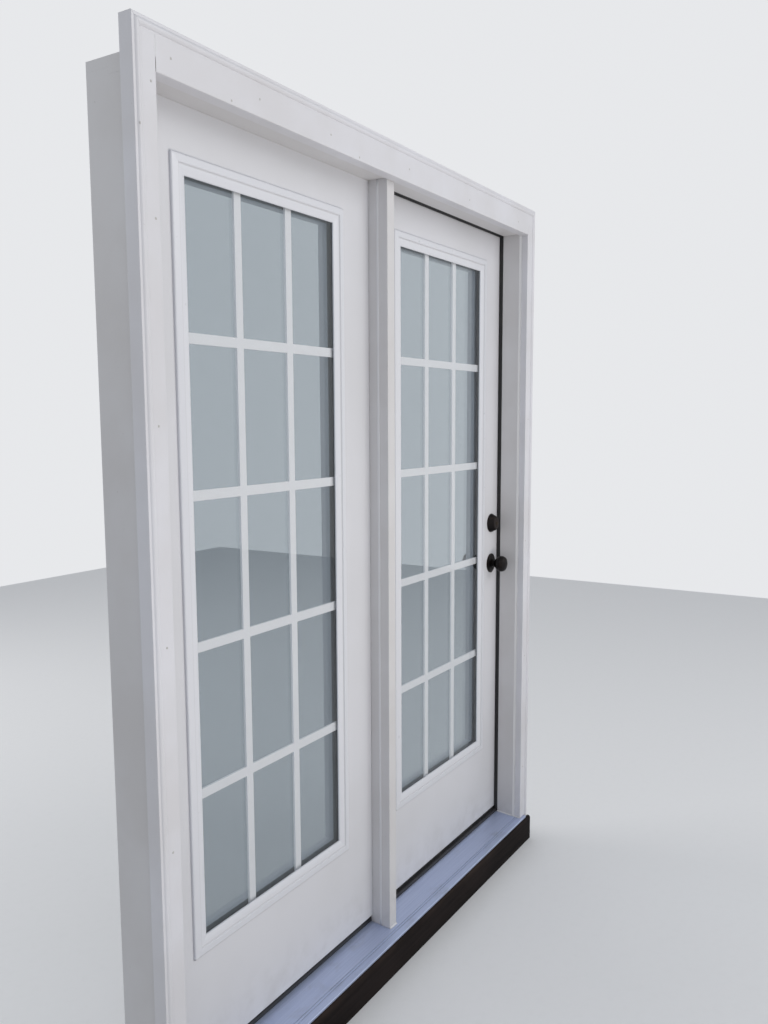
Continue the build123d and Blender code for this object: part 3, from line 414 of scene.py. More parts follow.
def lite_frame_finish(side):
    """White plastic, painted shade at the foot of its bevel and painted shadow under its lower edge.

    A point's inset is its distance in from the nearest outer edge: the smaller of half width - |x|
    and half height - |z|, both measured from the middle of the frame."""
    low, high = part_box(f"{side}_outer_lite_frame")
    middle = (low + high) / 2

    def dust_and_shade(plastic):
        across = (high.x - middle.x) - (plastic.axis("X") - middle.x).size()
        upward = (high.z - middle.z) - (plastic.axis("Z") - middle.z).size()
        # Painted shade: a grey line round the foot of the bevel.
        bevel = plastic.ramp((across.smaller(upward) - BEVEL_INSET).size(), *BEVEL_SHADE)
        # Painted shadow under the frame's lower edge, on its outer face only.
        outside = plastic.axis("Y") < high.y + MM
        under = plastic.ramp(plastic.axis("Z"), *(low.z + rise for rise in EDGE_SHADOW)) * outside
        return bevel * 0.15 + under * 0.45

    return moulded_white(f"{side}_lite_frames", LITE_WHITE, 0.26, dust_and_shade)


lite_finishes = {side: lite_frame_finish(side) for side in ("fixed", "door")}
grille_finish = moulded_white("enamelled_grille", GRILLE_WHITE, 0.2)
print("finishes:", [finish.name for finish in lite_finishes.values()], grille_finish.name)

# %% [markdown]
# ## Metal sill
# The sloping sill is bare aluminium that has dulled out of doors. It has fine drawing lines along
# its length, drifts of dirt that rain leaves behind, and a few dark specks. Its grey is written
# bluish, a painted reflection of the sky, and its corners are darkened by painted shade. A clean
# metal shader would mirror the studio too sharply, so only about half of it is metal and the dirt is
# rough.

# %% Weathered aluminium
# The aluminium's grey is written bluish: partly its own tone, partly a painted reflection of the sky.
SKY_TINTED_SILL_METALS = (srgb(176, 188, 219), srgb(190, 201, 229))
RAIN_DIRT_AND_SHADE = srgb(112, 108, 100)


def sill_metal():
    """Dull metal: lines along x in bump and tone, soiling in drifts and specks, painted shade in
    corners.
    """
    metal = Finish("weathered_sill_metal")
    lines = metal.noise(900, (0.006, 1, 1), detail=3)
    drifts = metal.ramp(metal.noise(14, (0.5, 1, 1), detail=6, roughness=0.65), 0.5, 0.78)
    # Painted shade: darker where ambient occlusion finds a corner; drifts and specks are real dirt.
    corners = metal.ramp(metal.crevice(20 * MM), 0.7, 0.3)
    specks = metal.ramp(metal.noise(160, detail=2, shift=2.0), 0.76, 0.8)
    dirt_and_shade = drifts * 0.35 + corners * 0.5 + specks * 0.6
    clean = metal.mix(metal.ramp(lines, 0.35, 0.65), *SKY_TINTED_SILL_METALS)
    colour = metal.mix(dirt_and_shade, clean, RAIN_DIRT_AND_SHADE)
    normal = metal.bump(lines, 0.06 * MM, metal.soft_edge(0.5 * MM))
    return metal.show(colour, 0.4 + dirt_and_shade * 0.3, normal, Metallic=0.55)


sill_finish = sill_metal()
print("finish:", sill_finish.name)

# %% [markdown]
# ## Stained timber
# The sub-sill is a heavy board stained nearly black. Its grain runs along x: long dark streaks in
# colour, fine open pores in the bump, and paler wood where feet have worn the upper front edge. Real
# rings could be cut through in 3-D, as in the pine below, but under this stain they don't show.

# %% Dark stained board
STAINS = (srgb(14, 11, 11), srgb(29, 23, 22))
FADED_STAIN = srgb(40, 33, 32)
WORN_WOOD = srgb(78, 65, 58)
WORN_DEPTH = 30 * MM
WORN_HEIGHT = 20 * MM


def stained_timber():
    """Grain is noise squeezed along x. Slow noise says where the stain has faded or worn off."""
    wood = Finish("stained_sub_sill")
    grain = wood.noise(90, (0.03, 1, 1), detail=6, roughness=0.7)
    pores = wood.noise(700, (0.02, 1, 1), detail=2)
    cloud = wood.noise(6, (0.4, 1, 1), detail=4, shift=5.0)
    front = wood.ramp(wood.axis("Y"), foot_low.y + WORN_DEPTH, foot_low.y)
    upper = wood.ramp(wood.axis("Z"), foot_high.z - WORN_HEIGHT, foot_high.z)
    worn = front * upper * wood.ramp(cloud, 0.4, 0.7)
    dark = wood.mix(wood.ramp(grain, 0.35, 0.7), *STAINS)
    faded = wood.mix(wood.ramp(cloud, 0.45, 0.75) * 0.5, dark, FADED_STAIN)
    colour = wood.mix(worn * 0.4, faded, WORN_WOOD)
    normal = wood.bump(grain * 0.6 + pores * 0.4, 0.5 * MM, wood.soft_edge(1.5 * MM))
    return wood.show(colour, 0.66 + pores * 0.2, normal, Specular_IOR_Level=0.1)


sub_sill_finish = stained_timber()
print("finish:", sub_sill_finish.name)

# %% [markdown]
# ## Dark plastic and rubber
# The threshold cap is brown-black moulded plastic, scuffed by shoes. Its tone is written near black
# and cool, darker than that plastic: partly painted shadow under the leaf's foot. The weather seals
# are foam wrapped in a thin black film, and the sweeps are rubber. All three are dull and gather
# dust, so one function makes them, from a tone, a share of dust, a roughness and the size of their
# pebbles.

# %% Dull dark finishes
DUST = srgb(120, 114, 106)


def dull_dark(name, colour, dust_and_shade, roughness, lumps):
    """A dark matt surface with lumps to the metre in its bump, and dust in patches and scuffs."""
    matt = Finish(name)
    pebble = matt.noise(lumps, detail=3)
    patches = matt.ramp(matt.noise(24, detail=5, shift=1.5), 0.48, 0.75)
    scuffs = matt.ramp(matt.noise(300, (0.08, 1, 1), detail=2, shift=6.0), 0.68, 0.75)
    tone = matt.mix(patches * dust_and_shade + scuffs * dust_and_shade, colour, DUST)
    normal = matt.bump(pebble, 0.08 * MM, matt.soft_edge(0.8 * MM))
    return matt.show(tone, roughness + pebble * 0.1, normal)


# The cap's near-black tone is partly painted shadow: darker than its brown-black plastic.
cap_finish = dull_dark(
    "threshold_cap_plastic", srgb(25, 25, 29), dust_and_shade=0.08, roughness=0.5, lumps=500)
seal_finish = dull_dark("weather_seal_film", srgb(17, 17, 19), dust_and_shade=0.06, roughness=0.62, lumps=900)
sweep_finish = dull_dark("door_sweep_rubber", srgb(20, 20, 22), dust_and_shade=0.12, roughness=0.68, lumps=700)
print("finishes:", cap_finish.name, seal_finish.name, sweep_finish.name)

# %% [markdown]
# ## Spacer bars
# A folded metal bar holds the two panes apart. Black compound glues it to them and creeps over its
# edges, and a seam is rolled down its middle. Both could be pieces of their own, but they are under
# a millimetre high and lie deep between the panes, so they are drawn by their distance from the
# bar's middle.

# %% Bars between the panes
BAR_METAL = srgb(52, 50, 49)
BAR_SEAM = srgb(24, 24, 25)
COMPOUND = srgb(15, 15, 17)
WAVER = 0.8 * MM


def spacer_bar(side):
    """Dark metal, with a seam where |y| from its middle is small and compound where it is large."""
    bar = Finish(f"{side}_spacer_bar")
    low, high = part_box(f"{side}_spacer")
    off_middle = (bar.axis("Y") - (low.y + high.y) / 2).size()
    compound = bar.ramp(off_middle + bar.noise(60, detail=3) * WAVER, 2.8 * MM, 3.4 * MM)
    seam = bar.ramp(off_middle, 0.6 * MM, 0.2 * MM)
    colour = bar.mix(compound, bar.mix(seam * 0.6, BAR_METAL, BAR_SEAM), COMPOUND)
    return bar.show(colour, 0.42 + compound * 0.2, bar.bump(seam, 0.2 * MM))


spacer_finishes = {side: spacer_bar(side) for side in ("fixed", "door")}
print("finishes:", [finish.name for finish in spacer_finishes.values()])

# %% [markdown]
# ## Foam and bare pine
# The leaves are filled with rigid foam, and pine packs the space under the sill. They hardly show,
# but a part that is taken from this object should look right too. Foam has cells, so its pattern is
# the distance to the nearest of many scattered points. Pine has rings, so its pattern is a height
# that repeats and that slow noise bends.

# %% Hidden materials
FOAMS = (srgb(214, 204, 168), srgb(188, 176, 138))
PINES = (srgb(150, 126, 96), srgb(176, 152, 118))
RINGS = 90


def foam_finish():
    """Cream rigid foam, darker and higher with the distance from the middle of each cell."""
    foam = Finish("leaf_core_foam")
    cells = foam.node("TexVoronoi", {}, {"Vector": foam.where, "Scale": 700.0}, out="Distance")
    colour = foam.mix(cells, *FOAMS)
    return foam.show(colour, 0.85 + cells * 0.1, foam.bump(cells, 0.3 * MM))


def bare_pine():
    """Pale softwood: with f the fraction of RINGS z plus a bend, the tone follows 2 |f - 1/2|."""
    pine = Finish("bare_pine")
    bend = pine.noise(9, (0.15, 1, 1), detail=3) * 5
    rings = ((pine.axis("Z") * RINGS + bend).fraction() - 0.5).size() * 2
    pores = pine.noise(600, (0.03, 1, 1), detail=2)
    colour = pine.mix(pine.ramp(rings, 0.2, 0.9), *PINES)
    return pine.show(colour, 0.6 + pores * 0.2, pine.bump(pores, 0.2 * MM))


core_finish = foam_finish()
pine_finish = bare_pine()
print("finishes:", core_finish.name, pine_finish.name)

# %% [markdown]
# ## Metal fittings
# Knobs, roses and hinges are dark oiled bronze: almost black, with warm brown in patches and along
# edges, where handling has rubbed it. The pieces that hide in the leaf are zinc plated steel, and
# the key plug is brass. They differ in tone and wear but not in kind, so one function makes all
# three. Worn edges could be painted on a map. Here they are found by Blender's measure of how
# pointed the mesh is, so they follow the shape.

# %% Bronze, steel and brass


def fitting_metal(name, body, rubbed, roughness, wear):
    """Metal whose tone turns from body to rubbed where a slow noise and sharp edges say so."""
    metal = Finish(name)
    cloud = metal.noise(70, detail=4)
    brush = metal.noise(1400, (1, 1, 0.05), detail=2)
    handled = metal.ramp(cloud, 0.5, 0.8)
    edges = metal.ramp(metal.node("NewGeometry", out="Pointiness"), 0.52, 0.6)
    colour = metal.mix(handled * wear + edges * wear, body, rubbed)
    roughness = roughness + cloud * 0.14 + brush * 0.05
    normal = metal.bump(brush, 0.02 * MM, metal.soft_edge(0.5 * MM))
    return metal.show(colour, roughness, normal, Metallic=0.85)


bronze_finish = fitting_metal(
    "oiled_bronze", srgb(31, 28, 28), srgb(80, 62, 50), roughness=0.28, wear=0.22)
steel_finish = fitting_metal(
    "plated_steel", srgb(164, 164, 160), srgb(198, 198, 196), roughness=0.28, wear=0.6)
brass_finish = fitting_metal(
    "worn_brass", srgb(50, 43, 36), srgb(96, 80, 56), roughness=0.32, wear=0.3)
print("finishes:", bronze_finish.name, steel_finish.name, brass_finish.name)

# %% [markdown]
# ## Glass
# A pane mirrors a few hundredths of the light head on and nearly all of it at a glancing angle, and
# lets the rest through. A refracting glass shader would also bend the light, which a thin pane
# hardly does, and it makes noisy shadows. A mirror mixed with a clear shader does without both. The
# outer panes are nearly clear, so the bars behind them stay white, and the inner panes have a grey
# coating that keeps out the sun. That grey is partly painted shade: it is dark enough to make the
# glass as dark as a shaded room behind it.

# %% Clear glazing
GLASS_INDEX = 1.52
TWO_FACES = 1.25
FILM = 0.02
MIRROR_TINT = (0.92, 0.96, 0.98, 1)
CLEAR_TINT = (0.974, 0.981, 0.986, 1)
# The coating's grey is partly painted shade, dark enough for a shaded room behind the glass.
COATING_AND_SHADE_TINT = (0.63, 0.665, 0.685, 1)


def pane_glass(name, tint):
    """Mirror share = TWO_FACES times Fresnel's share, plus a faint film, on the side that light
    comes in by. The rest of the light passes tinted."""
    glass = Finish(name)
    entering = 1 - glass.node("NewGeometry", out="Backfacing")
    share = glass.node("Fresnel", {}, {"IOR": GLASS_INDEX}) * entering
    film = glass.noise(3, detail=3) * entering
    mirror = glass.node("BsdfGlossy", {}, {"Color": MIRROR_TINT, "Roughness": 0.0})
    clear = glass.node("BsdfTransparent", {}, {"Color": tint})
    mirrored = share * TWO_FACES + film * FILM
    return glass.cover(glass.node("MixShader", {}, {0: mirrored, 1: clear, 2: mirror}))


clear_glass = pane_glass("clear_pane", CLEAR_TINT)
coated_glass = pane_glass("coated_pane", COATING_AND_SHADE_TINT)
print("finishes:", clear_glass.name, coated_glass.name)

# %% [markdown]
# ## Dress the solids
# Every solid of the frame gets the finish that its real piece has. The boards that run up take the
# paint with upright strokes, and the others the paint with level strokes. One table holds it all,
# because a table can be checked: the cell prints any solid that it leaves out.

# %% Give each solid its finish
FINISHES = {
    sub_sill_finish: ["sub_sill"],
    pine_finish: ["sill_core"],
    sill_finish: ["sill_extrusion"],
    cap_finish: ["threshold_cap"],
    upright_paint: ["jamb_left", "jamb_right", "mullion_post", "mullion_cover", "panel_stops",
                    "fixed_edge_frame", "door_edge_frame"],
    level_paint: ["jamb_head"],
    side_casing_paint: ["casing_left", "casing_right", "band_left", "band_right"],
    head_casing_paint: ["casing_head", "band_head"],
    skin_finish: ["fixed_outer_skin", "fixed_inner_skin", "door_outer_skin", "door_inner_skin"],
    lite_finishes["fixed"]: ["fixed_outer_lite_frame", "fixed_inner_lite_frame"],
    lite_finishes["door"]: ["door_outer_lite_frame", "door_inner_lite_frame"],
    grille_finish: ["fixed_grille", "door_grille"],
    clear_glass: ["fixed_outer_pane", "door_outer_pane"],
    coated_glass: ["fixed_inner_pane", "door_inner_pane"],
    spacer_finishes["fixed"]: ["fixed_spacer"],
    spacer_finishes["door"]: ["door_spacer"],
    core_finish: ["fixed_core", "door_core"],
    seal_finish: ["weatherstrip_hinge_side", "weatherstrip_latch_side", "weatherstrip_head"],
    sweep_finish: ["fixed_bottom_seal", "door_sweep"],
    bronze_finish: ["strike_plates", "hinge_jamb_leaves", "hinge_door_leaves", "hinge_pins",
                    "outer_knob", "inner_knob", "outer_rose", "inner_rose", "deadbolt_housing",
                    "thumb_turn_plate", "thumb_turn", "lock_faceplates"],
    steel_finish: ["knob_spindle", "latch_case", "latch_bolt", "deadbolt_case", "deadbolt",
                   "deadbolt_tailpiece"],
    brass_finish: ["key_plug"],
}
dressed = []
for finish, names in FINISHES.items():
    for name in names:
        mesh = nodes[name].data
        mesh.materials.clear()
        mesh.materials.append(finish)
        dressed.append(name)
print("dressed:", len(dressed), "left over:", sorted(set(nodes) - set(dressed)))

# %% [markdown]
# ## Small surfaces
# Screws, plugs and sealant are surfaces worked out on a grid of two parameters. They could be cut
# from cylinders with booleans, but that leaves ragged faces, and a grid has clean ones from the
# start. One function turns grids of points into a closed mesh, one stands copies of a shape on a
# face, and a later one carries a section along a line.

# %% From a grid of points to a mesh
WELD = 1e-6
SLIVER = 1e-7


def grid_mesh(name, grids, body, finish):
    """Mesh of several grids, each (rows, columns, 3) with columns that close into a ring.

    Face (i, j) joins points (i, j), (i, j+1), (i+1, j+1) and (i+1, j). The first and last row of a
    grid are single points or flat rings, so each grid is a closed shell once doubles are merged.
    """
    rows, columns = grids[0].shape[:2]
    i, j = np.meshgrid(np.arange(rows - 1), np.arange(columns), indexing="ij")
    here = i * columns
    after = (j + 1) % columns
    corners = [here + j, here + after, here + columns + after, here + columns + j]
    quads = np.stack(corners, -1).reshape(-1, 4)
    points = np.concatenate([grid.reshape(-1, 3) for grid in grids])
    faces = np.concatenate([quads + k * rows * columns for k in range(len(grids))])
    mesh = bpy.data.meshes.new(name)
    mesh.from_pydata(points.tolist(), [], faces.tolist())
    work = bmesh.new()
    work.from_mesh(mesh)
    bmesh.ops.remove_doubles(work, verts=work.verts, dist=WELD)
    bmesh.ops.dissolve_degenerate(work, edges=work.edges, dist=SLIVER)
    bmesh.ops.recalc_face_normals(work, faces=work.faces)
    for face in work.faces:
        face.smooth = True
    work.to_mesh(mesh)
    work.free()
    mesh.materials.append(finish)
    piece = bpy.data.objects.new(name, mesh)
    bpy.context.scene.collection.objects.link(piece)
    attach(piece, body)
    print(name, "faces:", len(mesh.polygons))


def stand(shape, places, normal, turns=None):
    """Copies of a shape whose own z points out: each at a place, turned about the normal."""
    normal = np.array(normal, float)
    side = np.cross([0, 0, 1], normal) if abs(normal[2]) < 0.9 else np.array([1.0, 0, 0])
    up = np.cross(normal, side)
    copies = []
    for index, place in enumerate(places):
        angle = 0.0 if turns is None else turns[index]
        along = side * math.cos(angle) + up * math.sin(angle)
        across = np.cross(normal, along)
        copies.append(shape @ np.stack([along, across, normal]) + np.array(place))
    return copies


print("points closer than", WELD, "m are merged")

# %% [markdown]
# ## Screws
# Each hinge leaf has four countersunk cross-head screws. From across a room a disc would do, but the
# part is also looked at close to, so the cross is cut for real: the head is a low dome from which
# two tapered slots are sunk. Screws are driven until they are tight, so each is left turned another
# way.

# %% Cross-head screws of the hinges


def screw_head(radius, rise, arm=0.62, width=0.17, sink=0.55, rings=11, spokes=40, buried=0.1 * MM):
    """Points of one head: z = rise (1 - s^2) less sink R inside a cross, where s is the distance
    from the middle over R, and the cross has arms arm R long and width R wide each way."""
    share = np.linspace(1, 0, rings)[:, None]
    angle = np.linspace(0, 2 * math.pi, spokes, endpoint=False)[None, :]
    x = share * np.cos(angle)
    y = share * np.sin(angle)

    def slot(along, across):
        """1 inside an arm of the cross and 0 outside it, with sloping sides."""
        in_width = np.clip((width - np.abs(across)) / (0.5 * width), 0, 1)
        in_length = np.clip((arm - np.abs(along)) / (0.3 * arm), 0, 1)
        return in_width * in_length

    cross = np.maximum(slot(x, y), slot(y, x))
    z = rise * (1 - share**2) - cross * sink * radius
    top = np.stack([x * radius, y * radius, z + 0 * x], -1)
    foot = top[:1] * [1, 1, 0] - [0, 0, buried]
    return np.concatenate([foot * [0, 0, 1], foot, top])


rng = np.random.default_rng(11)
SCREW = screw_head(4.1 * MM, 0.45 * MM)
HINGE_HALF = 50 * MM
HINGE_PLATE = 2.8 * MM
# Each screw's rise from the hinge's middle and its distance in from the room, in millimetres.
SCREW_ROWS = [(-36, 24), (-14, 12), (14, 24), (36, 12)]

jamb_leaf_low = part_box("hinge_jamb_leaves")[0]
hinges_low, hinges_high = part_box("hinge_door_leaves")
hinge_middles = np.array([
    hinges_low.z + HINGE_HALF,
    (hinges_low.z + hinges_high.z) / 2,
    hinges_high.z - HINGE_HALF,
])


def hinge_screws(name, face_x, normal, body):
    """Four screws in a zigzag on each of the three hinge leaves, on the face at x."""
    places = [
        (face_x, inner_high.y - inset * MM, middle + rise * MM)
        for middle in hinge_middles
        for rise, inset in SCREW_ROWS
    ]
    turns = rng.uniform(0, math.pi, len(places))
    grid_mesh(name, stand(SCREW, places, normal, turns), body, bronze_finish)


hinge_screws("hinge_screws_in_post", jamb_leaf_low.x + HINGE_PLATE, (1, 0, 0), "frame")
hinge_screws("hinge_screws_in_leaf", leaf_low.x, (-1, 0, 0), "door_leaf")

# %% [markdown]
# ## Screws of the lock
# The strikes, the face plates and the inside plate of the deadbolt have two smaller screws each, one
# on either side of the middle. They could have a head of their own, but real ones differ in little
# but their size, so they reuse the same head, smaller and a little prouder.

# %% Screws of the lock's plates
SMALL_SCREW = screw_head(3.3 * MM, 0.5 * MM)
PLATE_SCREW = 22 * MM
TURN_SCREW = 17 * MM
OUT_OF_LEAF = (1, 0, 0)
OUT_OF_JAMB = (-1, 0, 0)
INTO_ROOM = (0, 1, 0)

knob_low, knob_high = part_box("inner_knob")
turn_low, turn_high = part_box("thumb_turn_plate")
plates_low, plates_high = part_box("lock_faceplates")
strike_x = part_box("strike_plates")[0].x
knob_z = (knob_low.z + knob_high.z) / 2
bolt_z = (turn_low.z + turn_high.z) / 2
lock_x = (turn_low.x + turn_high.x) / 2
lock_y = (plates_low.y + plates_high.y) / 2


def lock_screws(name, places, normal, body):
    """Small screws at the places, each turned by up to three radians."""
    turns = rng.uniform(0, 3, len(places))
    heads = stand(SMALL_SCREW, places, normal, turns)
    grid_mesh(name, heads, body, bronze_finish)


rises = [z + side * PLATE_SCREW for z in (knob_z, bolt_z) for side in (-1, 1)]
turn_places = [(lock_x + side * TURN_SCREW, turn_high.y, bolt_z) for side in (-1, 1)]
lock_screws("face_plate_screws", [(leaf_high.x, lock_y, z) for z in rises], OUT_OF_LEAF, "door_leaf")
lock_screws("strike_screws", [(strike_x, lock_y, z) for z in rises], OUT_OF_JAMB, "frame")
lock_screws("thumb_turn_plate_screws", turn_places, INTO_ROOM, "door_leaf")

# %% [markdown]
# ## Plugs on the inside
# The two halves of a lite frame are screwed together from the room side, and each screw hole is
# closed with a small white plug. A plug is a flat-topped button. A cylinder with a bevel would look
# much the same; the curve z = h (1 - s^6) does both at once, flat at first and steep at its rim.

# %% Screw plugs on the inside lite frames


def button(radius, rise, rings=9, spokes=28, power=6, buried=0.2 * MM):
    """Points of a flat-topped button: z = rise (1 - s^power), with s the distance from the middle
    over the radius. Its rings lie closer together towards the rim."""
    share = np.sin(np.linspace(math.pi / 2, 0, rings))[:, None]
    angle = np.linspace(0, 2 * math.pi, spokes, endpoint=False)[None, :]
    z = rise * (1 - share**power) + 0 * angle
    top = np.stack([share * radius * np.cos(angle), share * radius * np.sin(angle), z], -1)
    foot = top[:1] * [1, 1, 0] - [0, 0, buried]
    return np.concatenate([foot * [0, 0, 1], foot, top])


PLUG = button(4.6 * MM, 0.7 * MM)
PLUG_INSET = 11 * MM
PLUG_SINK = 0.1 * MM
PLUGS_UP = 8
PLUGS_ACROSS = 3
FIRST_PLUG_UP = 50 * MM
FIRST_PLUG_ACROSS = 90 * MM


def plug_places(frame_name):
    """Points spaced evenly round the face of a lite frame, a little in from its outer edge."""
    low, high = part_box(frame_name)
    left, right = low.x + PLUG_INSET, high.x - PLUG_INSET
    foot, top = low.z + PLUG_INSET, high.z - PLUG_INSET
    rises = np.linspace(foot + FIRST_PLUG_UP, top - FIRST_PLUG_UP, PLUGS_UP)
    widths = np.linspace(left + FIRST_PLUG_ACROSS, right - FIRST_PLUG_ACROSS, PLUGS_ACROSS)
    spots = [(x, z) for x in (left, right) for z in rises]
    spots += [(x, z) for z in (foot, top) for x in widths]
    return [(x, surface_depth([frame_name], x, z, 1) - PLUG_SINK, z) for x, z in spots]


for side, body in (("fixed", "frame"), ("door", "door_leaf")):
    plugs = stand(PLUG, plug_places(f"{side}_inner_lite_frame"), INTO_ROOM)
    grid_mesh(f"{side}_screw_plugs", plugs, body, lite_finishes[side])

# %% [markdown]
# ## Sealant
# A painter's bead of sealant closes the corner between the casing and the frame, the seam down the
# side of the post, and the feet of the post and the boards on the sill. Its section is a hollow
# fillet in a corner and a low ridge on a seam. A curve object with a bevel could carry the section,
# but a real bead is drawn by hand and its width wanders, which is easy to add to an array.

# %% Beads of sealant
SEALANT = moulded_white("paintable_sealant", srgb(213, 214, 218), 0.42)
quarter = np.linspace(math.pi, 1.5 * math.pi, 7)
half_turn = np.linspace(0, math.pi, 9)
FILLET = np.concatenate([np.stack([1 + np.cos(quarter), 1 + np.sin(quarter)], -1), [[0, 0]]])
RIDGE = np.stack([np.cos(half_turn), np.sin(half_turn)], -1)
STATION = 20 * MM
FEWEST_STATIONS = 8
WAVES = (17, 41, 73)
WANDER = 0.2


def bead(start, end, side, out, section, width, depth):
    """Grid of a bead along a line: start + t (end - start) + w a side + w b out, where (a, b) is a
    point of the section scaled by width and depth, and w wanders about 1 by a fifth along t."""
    start, end, side, out = (np.array(v, float) for v in (start, end, side, out))
    length = np.linalg.norm(end - start)
    t = np.linspace(0, 1, max(FEWEST_STATIONS, int(length / STATION)))[:, None, None]
    phases = rng.uniform(0, 6, len(WAVES))
    waves = [np.sin(t * length * rate + phase) for rate, phase in zip(WAVES, phases)]
    w = 1 + WANDER * sum(waves) / len(WAVES)
    offset = section[:, :1] * width * side + section[:, 1:] * depth * out
    rings = start + t * (end - start) + w * offset
    caps = rings[[0, -1]].mean(1, keepdims=True).repeat(rings.shape[1], 1)
    return np.concatenate([caps[:1], rings, caps[1:]])


def sealant(name, *beads):
    """A piece for each bead, with a number after the name where there are several."""
    for index, grid in enumerate(beads):
        label = name if len(beads) == 1 else f"{name}_{index + 1}"
        grid_mesh(label, [grid], "frame", SEALANT)


print("points of a section:", len(FILLET), "in a fillet,", len(RIDGE), "in a ridge")

# %% [markdown]
# ## Where the beads run
# Each bead starts and ends on the pieces that it seals, so its ends are read from their boxes. The
# two directions after them say which way its section spreads: away from the board, and out of the
# corner. The right side could have calls of its own, but it is the left side mirrored, so one loop
# places both.

# %% Run the beads
UP = (0, 0, 1)
OUTDOORS = (0, -1, 0)
front_y = casing_high.y
stop_x = jamb_low.x
inner_x = casing_low.x
REVEAL_BEAD = (max(inner_x - stop_x, 1.5 * MM), 7.5 * MM)
FOOT_BEAD = (3.0 * MM, 3.5 * MM)
SEAM_BEAD = (3.2 * MM, 0.7 * MM)

for hand, name in ((-1, "left"), (1, "right")):
    inward = (-hand, 0, 0)
    corner = hand * inner_x
    stop = hand * stop_x
    corner_foot = (corner, front_y, sill_top(front_y))
    sealant(f"sealant_{name}_reveal", bead(
        corner_foot, (corner, front_y, head_low.z), inward, OUTDOORS, FILLET, *REVEAL_BEAD))
    sealant(f"sealant_{name}_foot", bead(
        (stop, front_y, sill_top(front_y)), (stop, 0, sill_top(0)),
        inward, UP, FILLET, *FOOT_BEAD), bead(
        (corner, casing_low.y, sill_top(casing_low.y)), corner_foot,
        inward, UP, FILLET, *FOOT_BEAD))

cover_foot = sill_top(cover_low.y)
sealant("sealant_post_foot", bead(
    (cover_low.x, cover_low.y, cover_foot), (cover_high.x, cover_low.y, cover_foot),
    OUTDOORS, UP, FILLET, *FOOT_BEAD))
for x, out, name in ((cover_low.x, -1, "left"), (cover_high.x, 1, "right")):
    sealant(f"sealant_post_seam_{name}", bead(
        (x, cover_high.y, sill_top(cover_high.y)), (x, cover_high.y, cover_high.z),
        INTO_ROOM, (out, 0, 0), RIDGE, *SEAM_BEAD))

# %% [markdown]
# ## Filler in the butt joints
# The side boards of the casing run up past the head board, and the rounded edges leave a groove
# between them. Above its open crack this groove was filled flush and painted over. The filler could
# be a cut in the boards' own meshes, but those are never changed, so it is a thin block laid in the
# groove, a hair below the boards' face.

# %% Fill the butt joints of the casing
# The block reaches a little past both sides of the groove.
BLOCK = np.array([(-0.05, 0), (1.05, 0), (1.05, 1), (-0.05, 1)])
JOINT_FILL = 2.0 * MM
FILL_SINK = 0.03 * MM

filled_y = casing_low.y + FILL_SINK
for hand, name in ((-1, "left"), (1, "right")):
    sealant(f"joint_filler_{name}", bead(
        (hand * inner_x, filled_y, head_low.z + CRACK_RISE), (hand * inner_x, filled_y, head_high.z),
        (hand, 0, 0), INTO_ROOM, BLOCK, JOINT_FILL, JOINT_FILL))

# %% [markdown]
# ## Nail marks
# The casing is nailed through its face. The holes are filled and painted, but each filling has
# sunk or stands a little proud and catches dirt. The marks that the photograph shows are placed as
# in it, and the rest are spaced as such boards are nailed, each a few millimetres off the line. A
# bump in the paint would vanish on the exported model, so each mark is a low button.

# %% Filled nail heads
FILLING = moulded_white("nail_filling", srgb(178, 177, 176), 0.6)
MARK = button(2.4 * MM, 0.12 * MM, rings=5, spokes=16)
BOARDS = [f"{board}_{place}" for board in ("casing", "band") for place in ("left", "right", "head")]
# The marks seen in the photograph: x and z in millimetres.
SEEN_MARKS = [(-848, 2106), (-880, 2027), (-847, 1874), (-798, 2159), (-551, 2160), (-637, 2133),
              (-185, 2133)]
LOWEST_NAIL, HIGHEST_NAIL, NAIL_STEP = 0.28, 1.7, 0.41
FIRST_HEAD_NAIL, HEAD_END, HEAD_NAILS = -0.3, 80 * MM, 4
OFF_LINE = 6

spots = [(x * MM, z * MM) for x, z in SEEN_MARKS]
casing_mid = (casing_low.x + casing_high.x) / 2
head_mid = (head_low.z + head_high.z) / 2
rises = np.arange(LOWEST_NAIL, HIGHEST_NAIL, NAIL_STEP)
for hand in (-1, 1):
    jitter = rng.uniform(-OFF_LINE, OFF_LINE, (len(rises), 2)) * MM
    spots += [(hand * casing_mid + dx, z + dz) for z, (dx, dz) in zip(rises, jitter)]
for x in np.linspace(FIRST_HEAD_NAIL, head_high.x - HEAD_END, HEAD_NAILS):
    dx, dz = rng.uniform(-OFF_LINE, OFF_LINE, 2) * MM
    spots.append((x + dx, head_mid + dz))
marks = [(x, surface_depth(BOARDS, x, z, -1), z) for x, z in spots]
grid_mesh("nail_fillings", stand(MARK, marks, OUTDOORS), "frame", FILLING)

# %% [markdown]
# ## Floor and background
# The doors stand on a plain pale floor, before a plain pale background. A floor as pale as that
# would throw so much light up that the undersides lose their shade. So it is pale only for the rays
# that the camera sees, and for those that glass and metal send on, and duller for the rays that
# light the doors. The background does the same, and lights the doors softly from all round.

# %% Lay the floor and set the background
PALE = (0.80, 0.81, 0.83, 1)
PALE_FLOOR = (0.86, 0.865, 0.88, 1)
DULL_FLOOR = (0.50, 0.505, 0.515, 1)
SOFT_LIGHT = (0.93, 0.96, 1.0, 1)
SOFT_STRENGTH = 0.5
FLOOR_HALF = 6.0


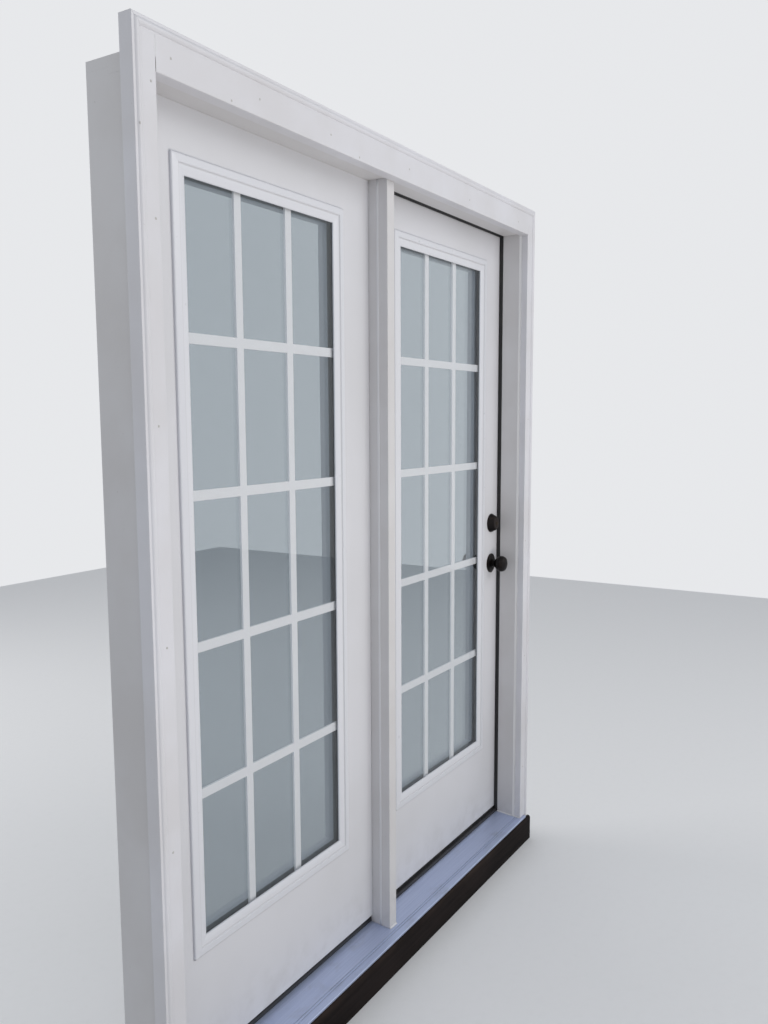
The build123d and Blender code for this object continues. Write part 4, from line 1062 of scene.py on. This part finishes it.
def studio_floor():
    """A square of floor just under the sub-sill, 2 FLOOR_HALF wide, with a faint grain."""
    corners = FLOOR_HALF * np.array([(-1, -1, 0), (1, -1, 0), (1, 1, 0), (-1, 1, 0)])
    mesh = bpy.data.meshes.new("studio_floor")
    mesh.from_pydata(corners.tolist(), [], [(0, 1, 2, 3)])
    floor = bpy.data.objects.new("studio_floor", mesh)
    bpy.context.scene.collection.objects.link(floor)
    finish = Finish("studio_floor")
    grain = finish.noise(40, detail=2)
    colour = finish.mix(finish.seen() * (0.94 + grain * 0.12), DULL_FLOOR, PALE_FLOOR)
    mesh.materials.append(finish.show(colour, 0.75))
    floor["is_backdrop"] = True


def studio_background():
    """A world that is PALE where it is seen, and a soft light of its own for all other rays."""
    world = bpy.data.worlds.new("studio")
    bpy.context.scene.world = world
    world.use_nodes = True
    around = Graph(world.node_tree)
    soft = around.node("Background", {}, {"Color": SOFT_LIGHT, "Strength": SOFT_STRENGTH})
    pale = around.node("Background", {}, {"Color": PALE, "Strength": 1.0})
    both = around.node("MixShader", {}, {0: around.seen(), 1: soft, 2: pale})
    around.node("OutputWorld", {}, {"Surface": both})


studio_floor()
studio_background()
print("floor:", 2 * FLOOR_HALF, "m square")

# %% [markdown]
# ## Lamps
# The background alone could light the doors, but then hardly anything would cast a shadow. So one
# large lamp stands high in front on the right, where most of the photograph's light comes from, and
# a weak one fills the left. A warm one lies on the floor and shines up, for the light that comes
# from below under the head, and the last one lights the room side. Small lamps would cast hard
# shadows, so all four are metres wide. Their watts were set so that a colour renders about as it is
# written.

# %% Hang the lamps


def lamp(name, place, target, size, watts, colour, mirrored=True):
    """A square area lamp at place that faces target; one that isn't mirrored leaves no highlight."""
    light = bpy.data.lights.new(name, "AREA")
    light.shape = "SQUARE"
    light.size = size
    light.energy = watts
    light.color = colour
    stand_in = bpy.data.objects.new(name, light)
    toward = np.array(target, float) - np.array(place, float)
    toward /= np.linalg.norm(toward)
    side = np.cross(toward, UP)
    side /= np.linalg.norm(side)
    up = np.cross(side, toward)
    turn = Matrix(np.stack([side, up, -toward], 1).tolist()).to_4x4()
    stand_in.matrix_world = Matrix.Translation(place) @ turn
    stand_in.visible_camera = False
    stand_in.visible_glossy = mirrored
    bpy.context.scene.collection.objects.link(stand_in)
    print(name, "watts:", watts)


lamp("sky_lamp", place=(1.8, -4.8, 4.3), target=(0.2, 0, 1.0),
     size=3.4, watts=90, colour=(1.0, 0.992, 0.98))
lamp("fill_lamp", place=(-4.5, -3.5, 2.4), target=(0, 0, 1.1),
     size=2.6, watts=28, colour=(0.95, 0.97, 1.0), mirrored=False)
lamp("floor_lamp", place=(-0.2, -2.0, 0.03), target=(-0.2, -1.6, 2.5),
     size=2.4, watts=100, colour=(1.0, 0.93, 0.84), mirrored=False)
lamp("room_lamp", place=(-1.5, 4.5, 3.2), target=(0, 0, 1.1),
     size=3.0, watts=80, colour=(1.0, 0.98, 0.95))
bpy.context.scene.view_settings.view_transform = "Standard"

# %% [markdown] ## Finish The heights of the solids and of the dressed part are printed, so that
# anyone can compare them with the measured size.

# %% Measure both boxes and print their heights
visual_low, visual_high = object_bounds()
heights = [round(high[2] - low[2], 3) for low, high in ((cad_low, cad_high), (visual_low, visual_high))]
print("height of the solids and of the dressed part:", heights, "m")
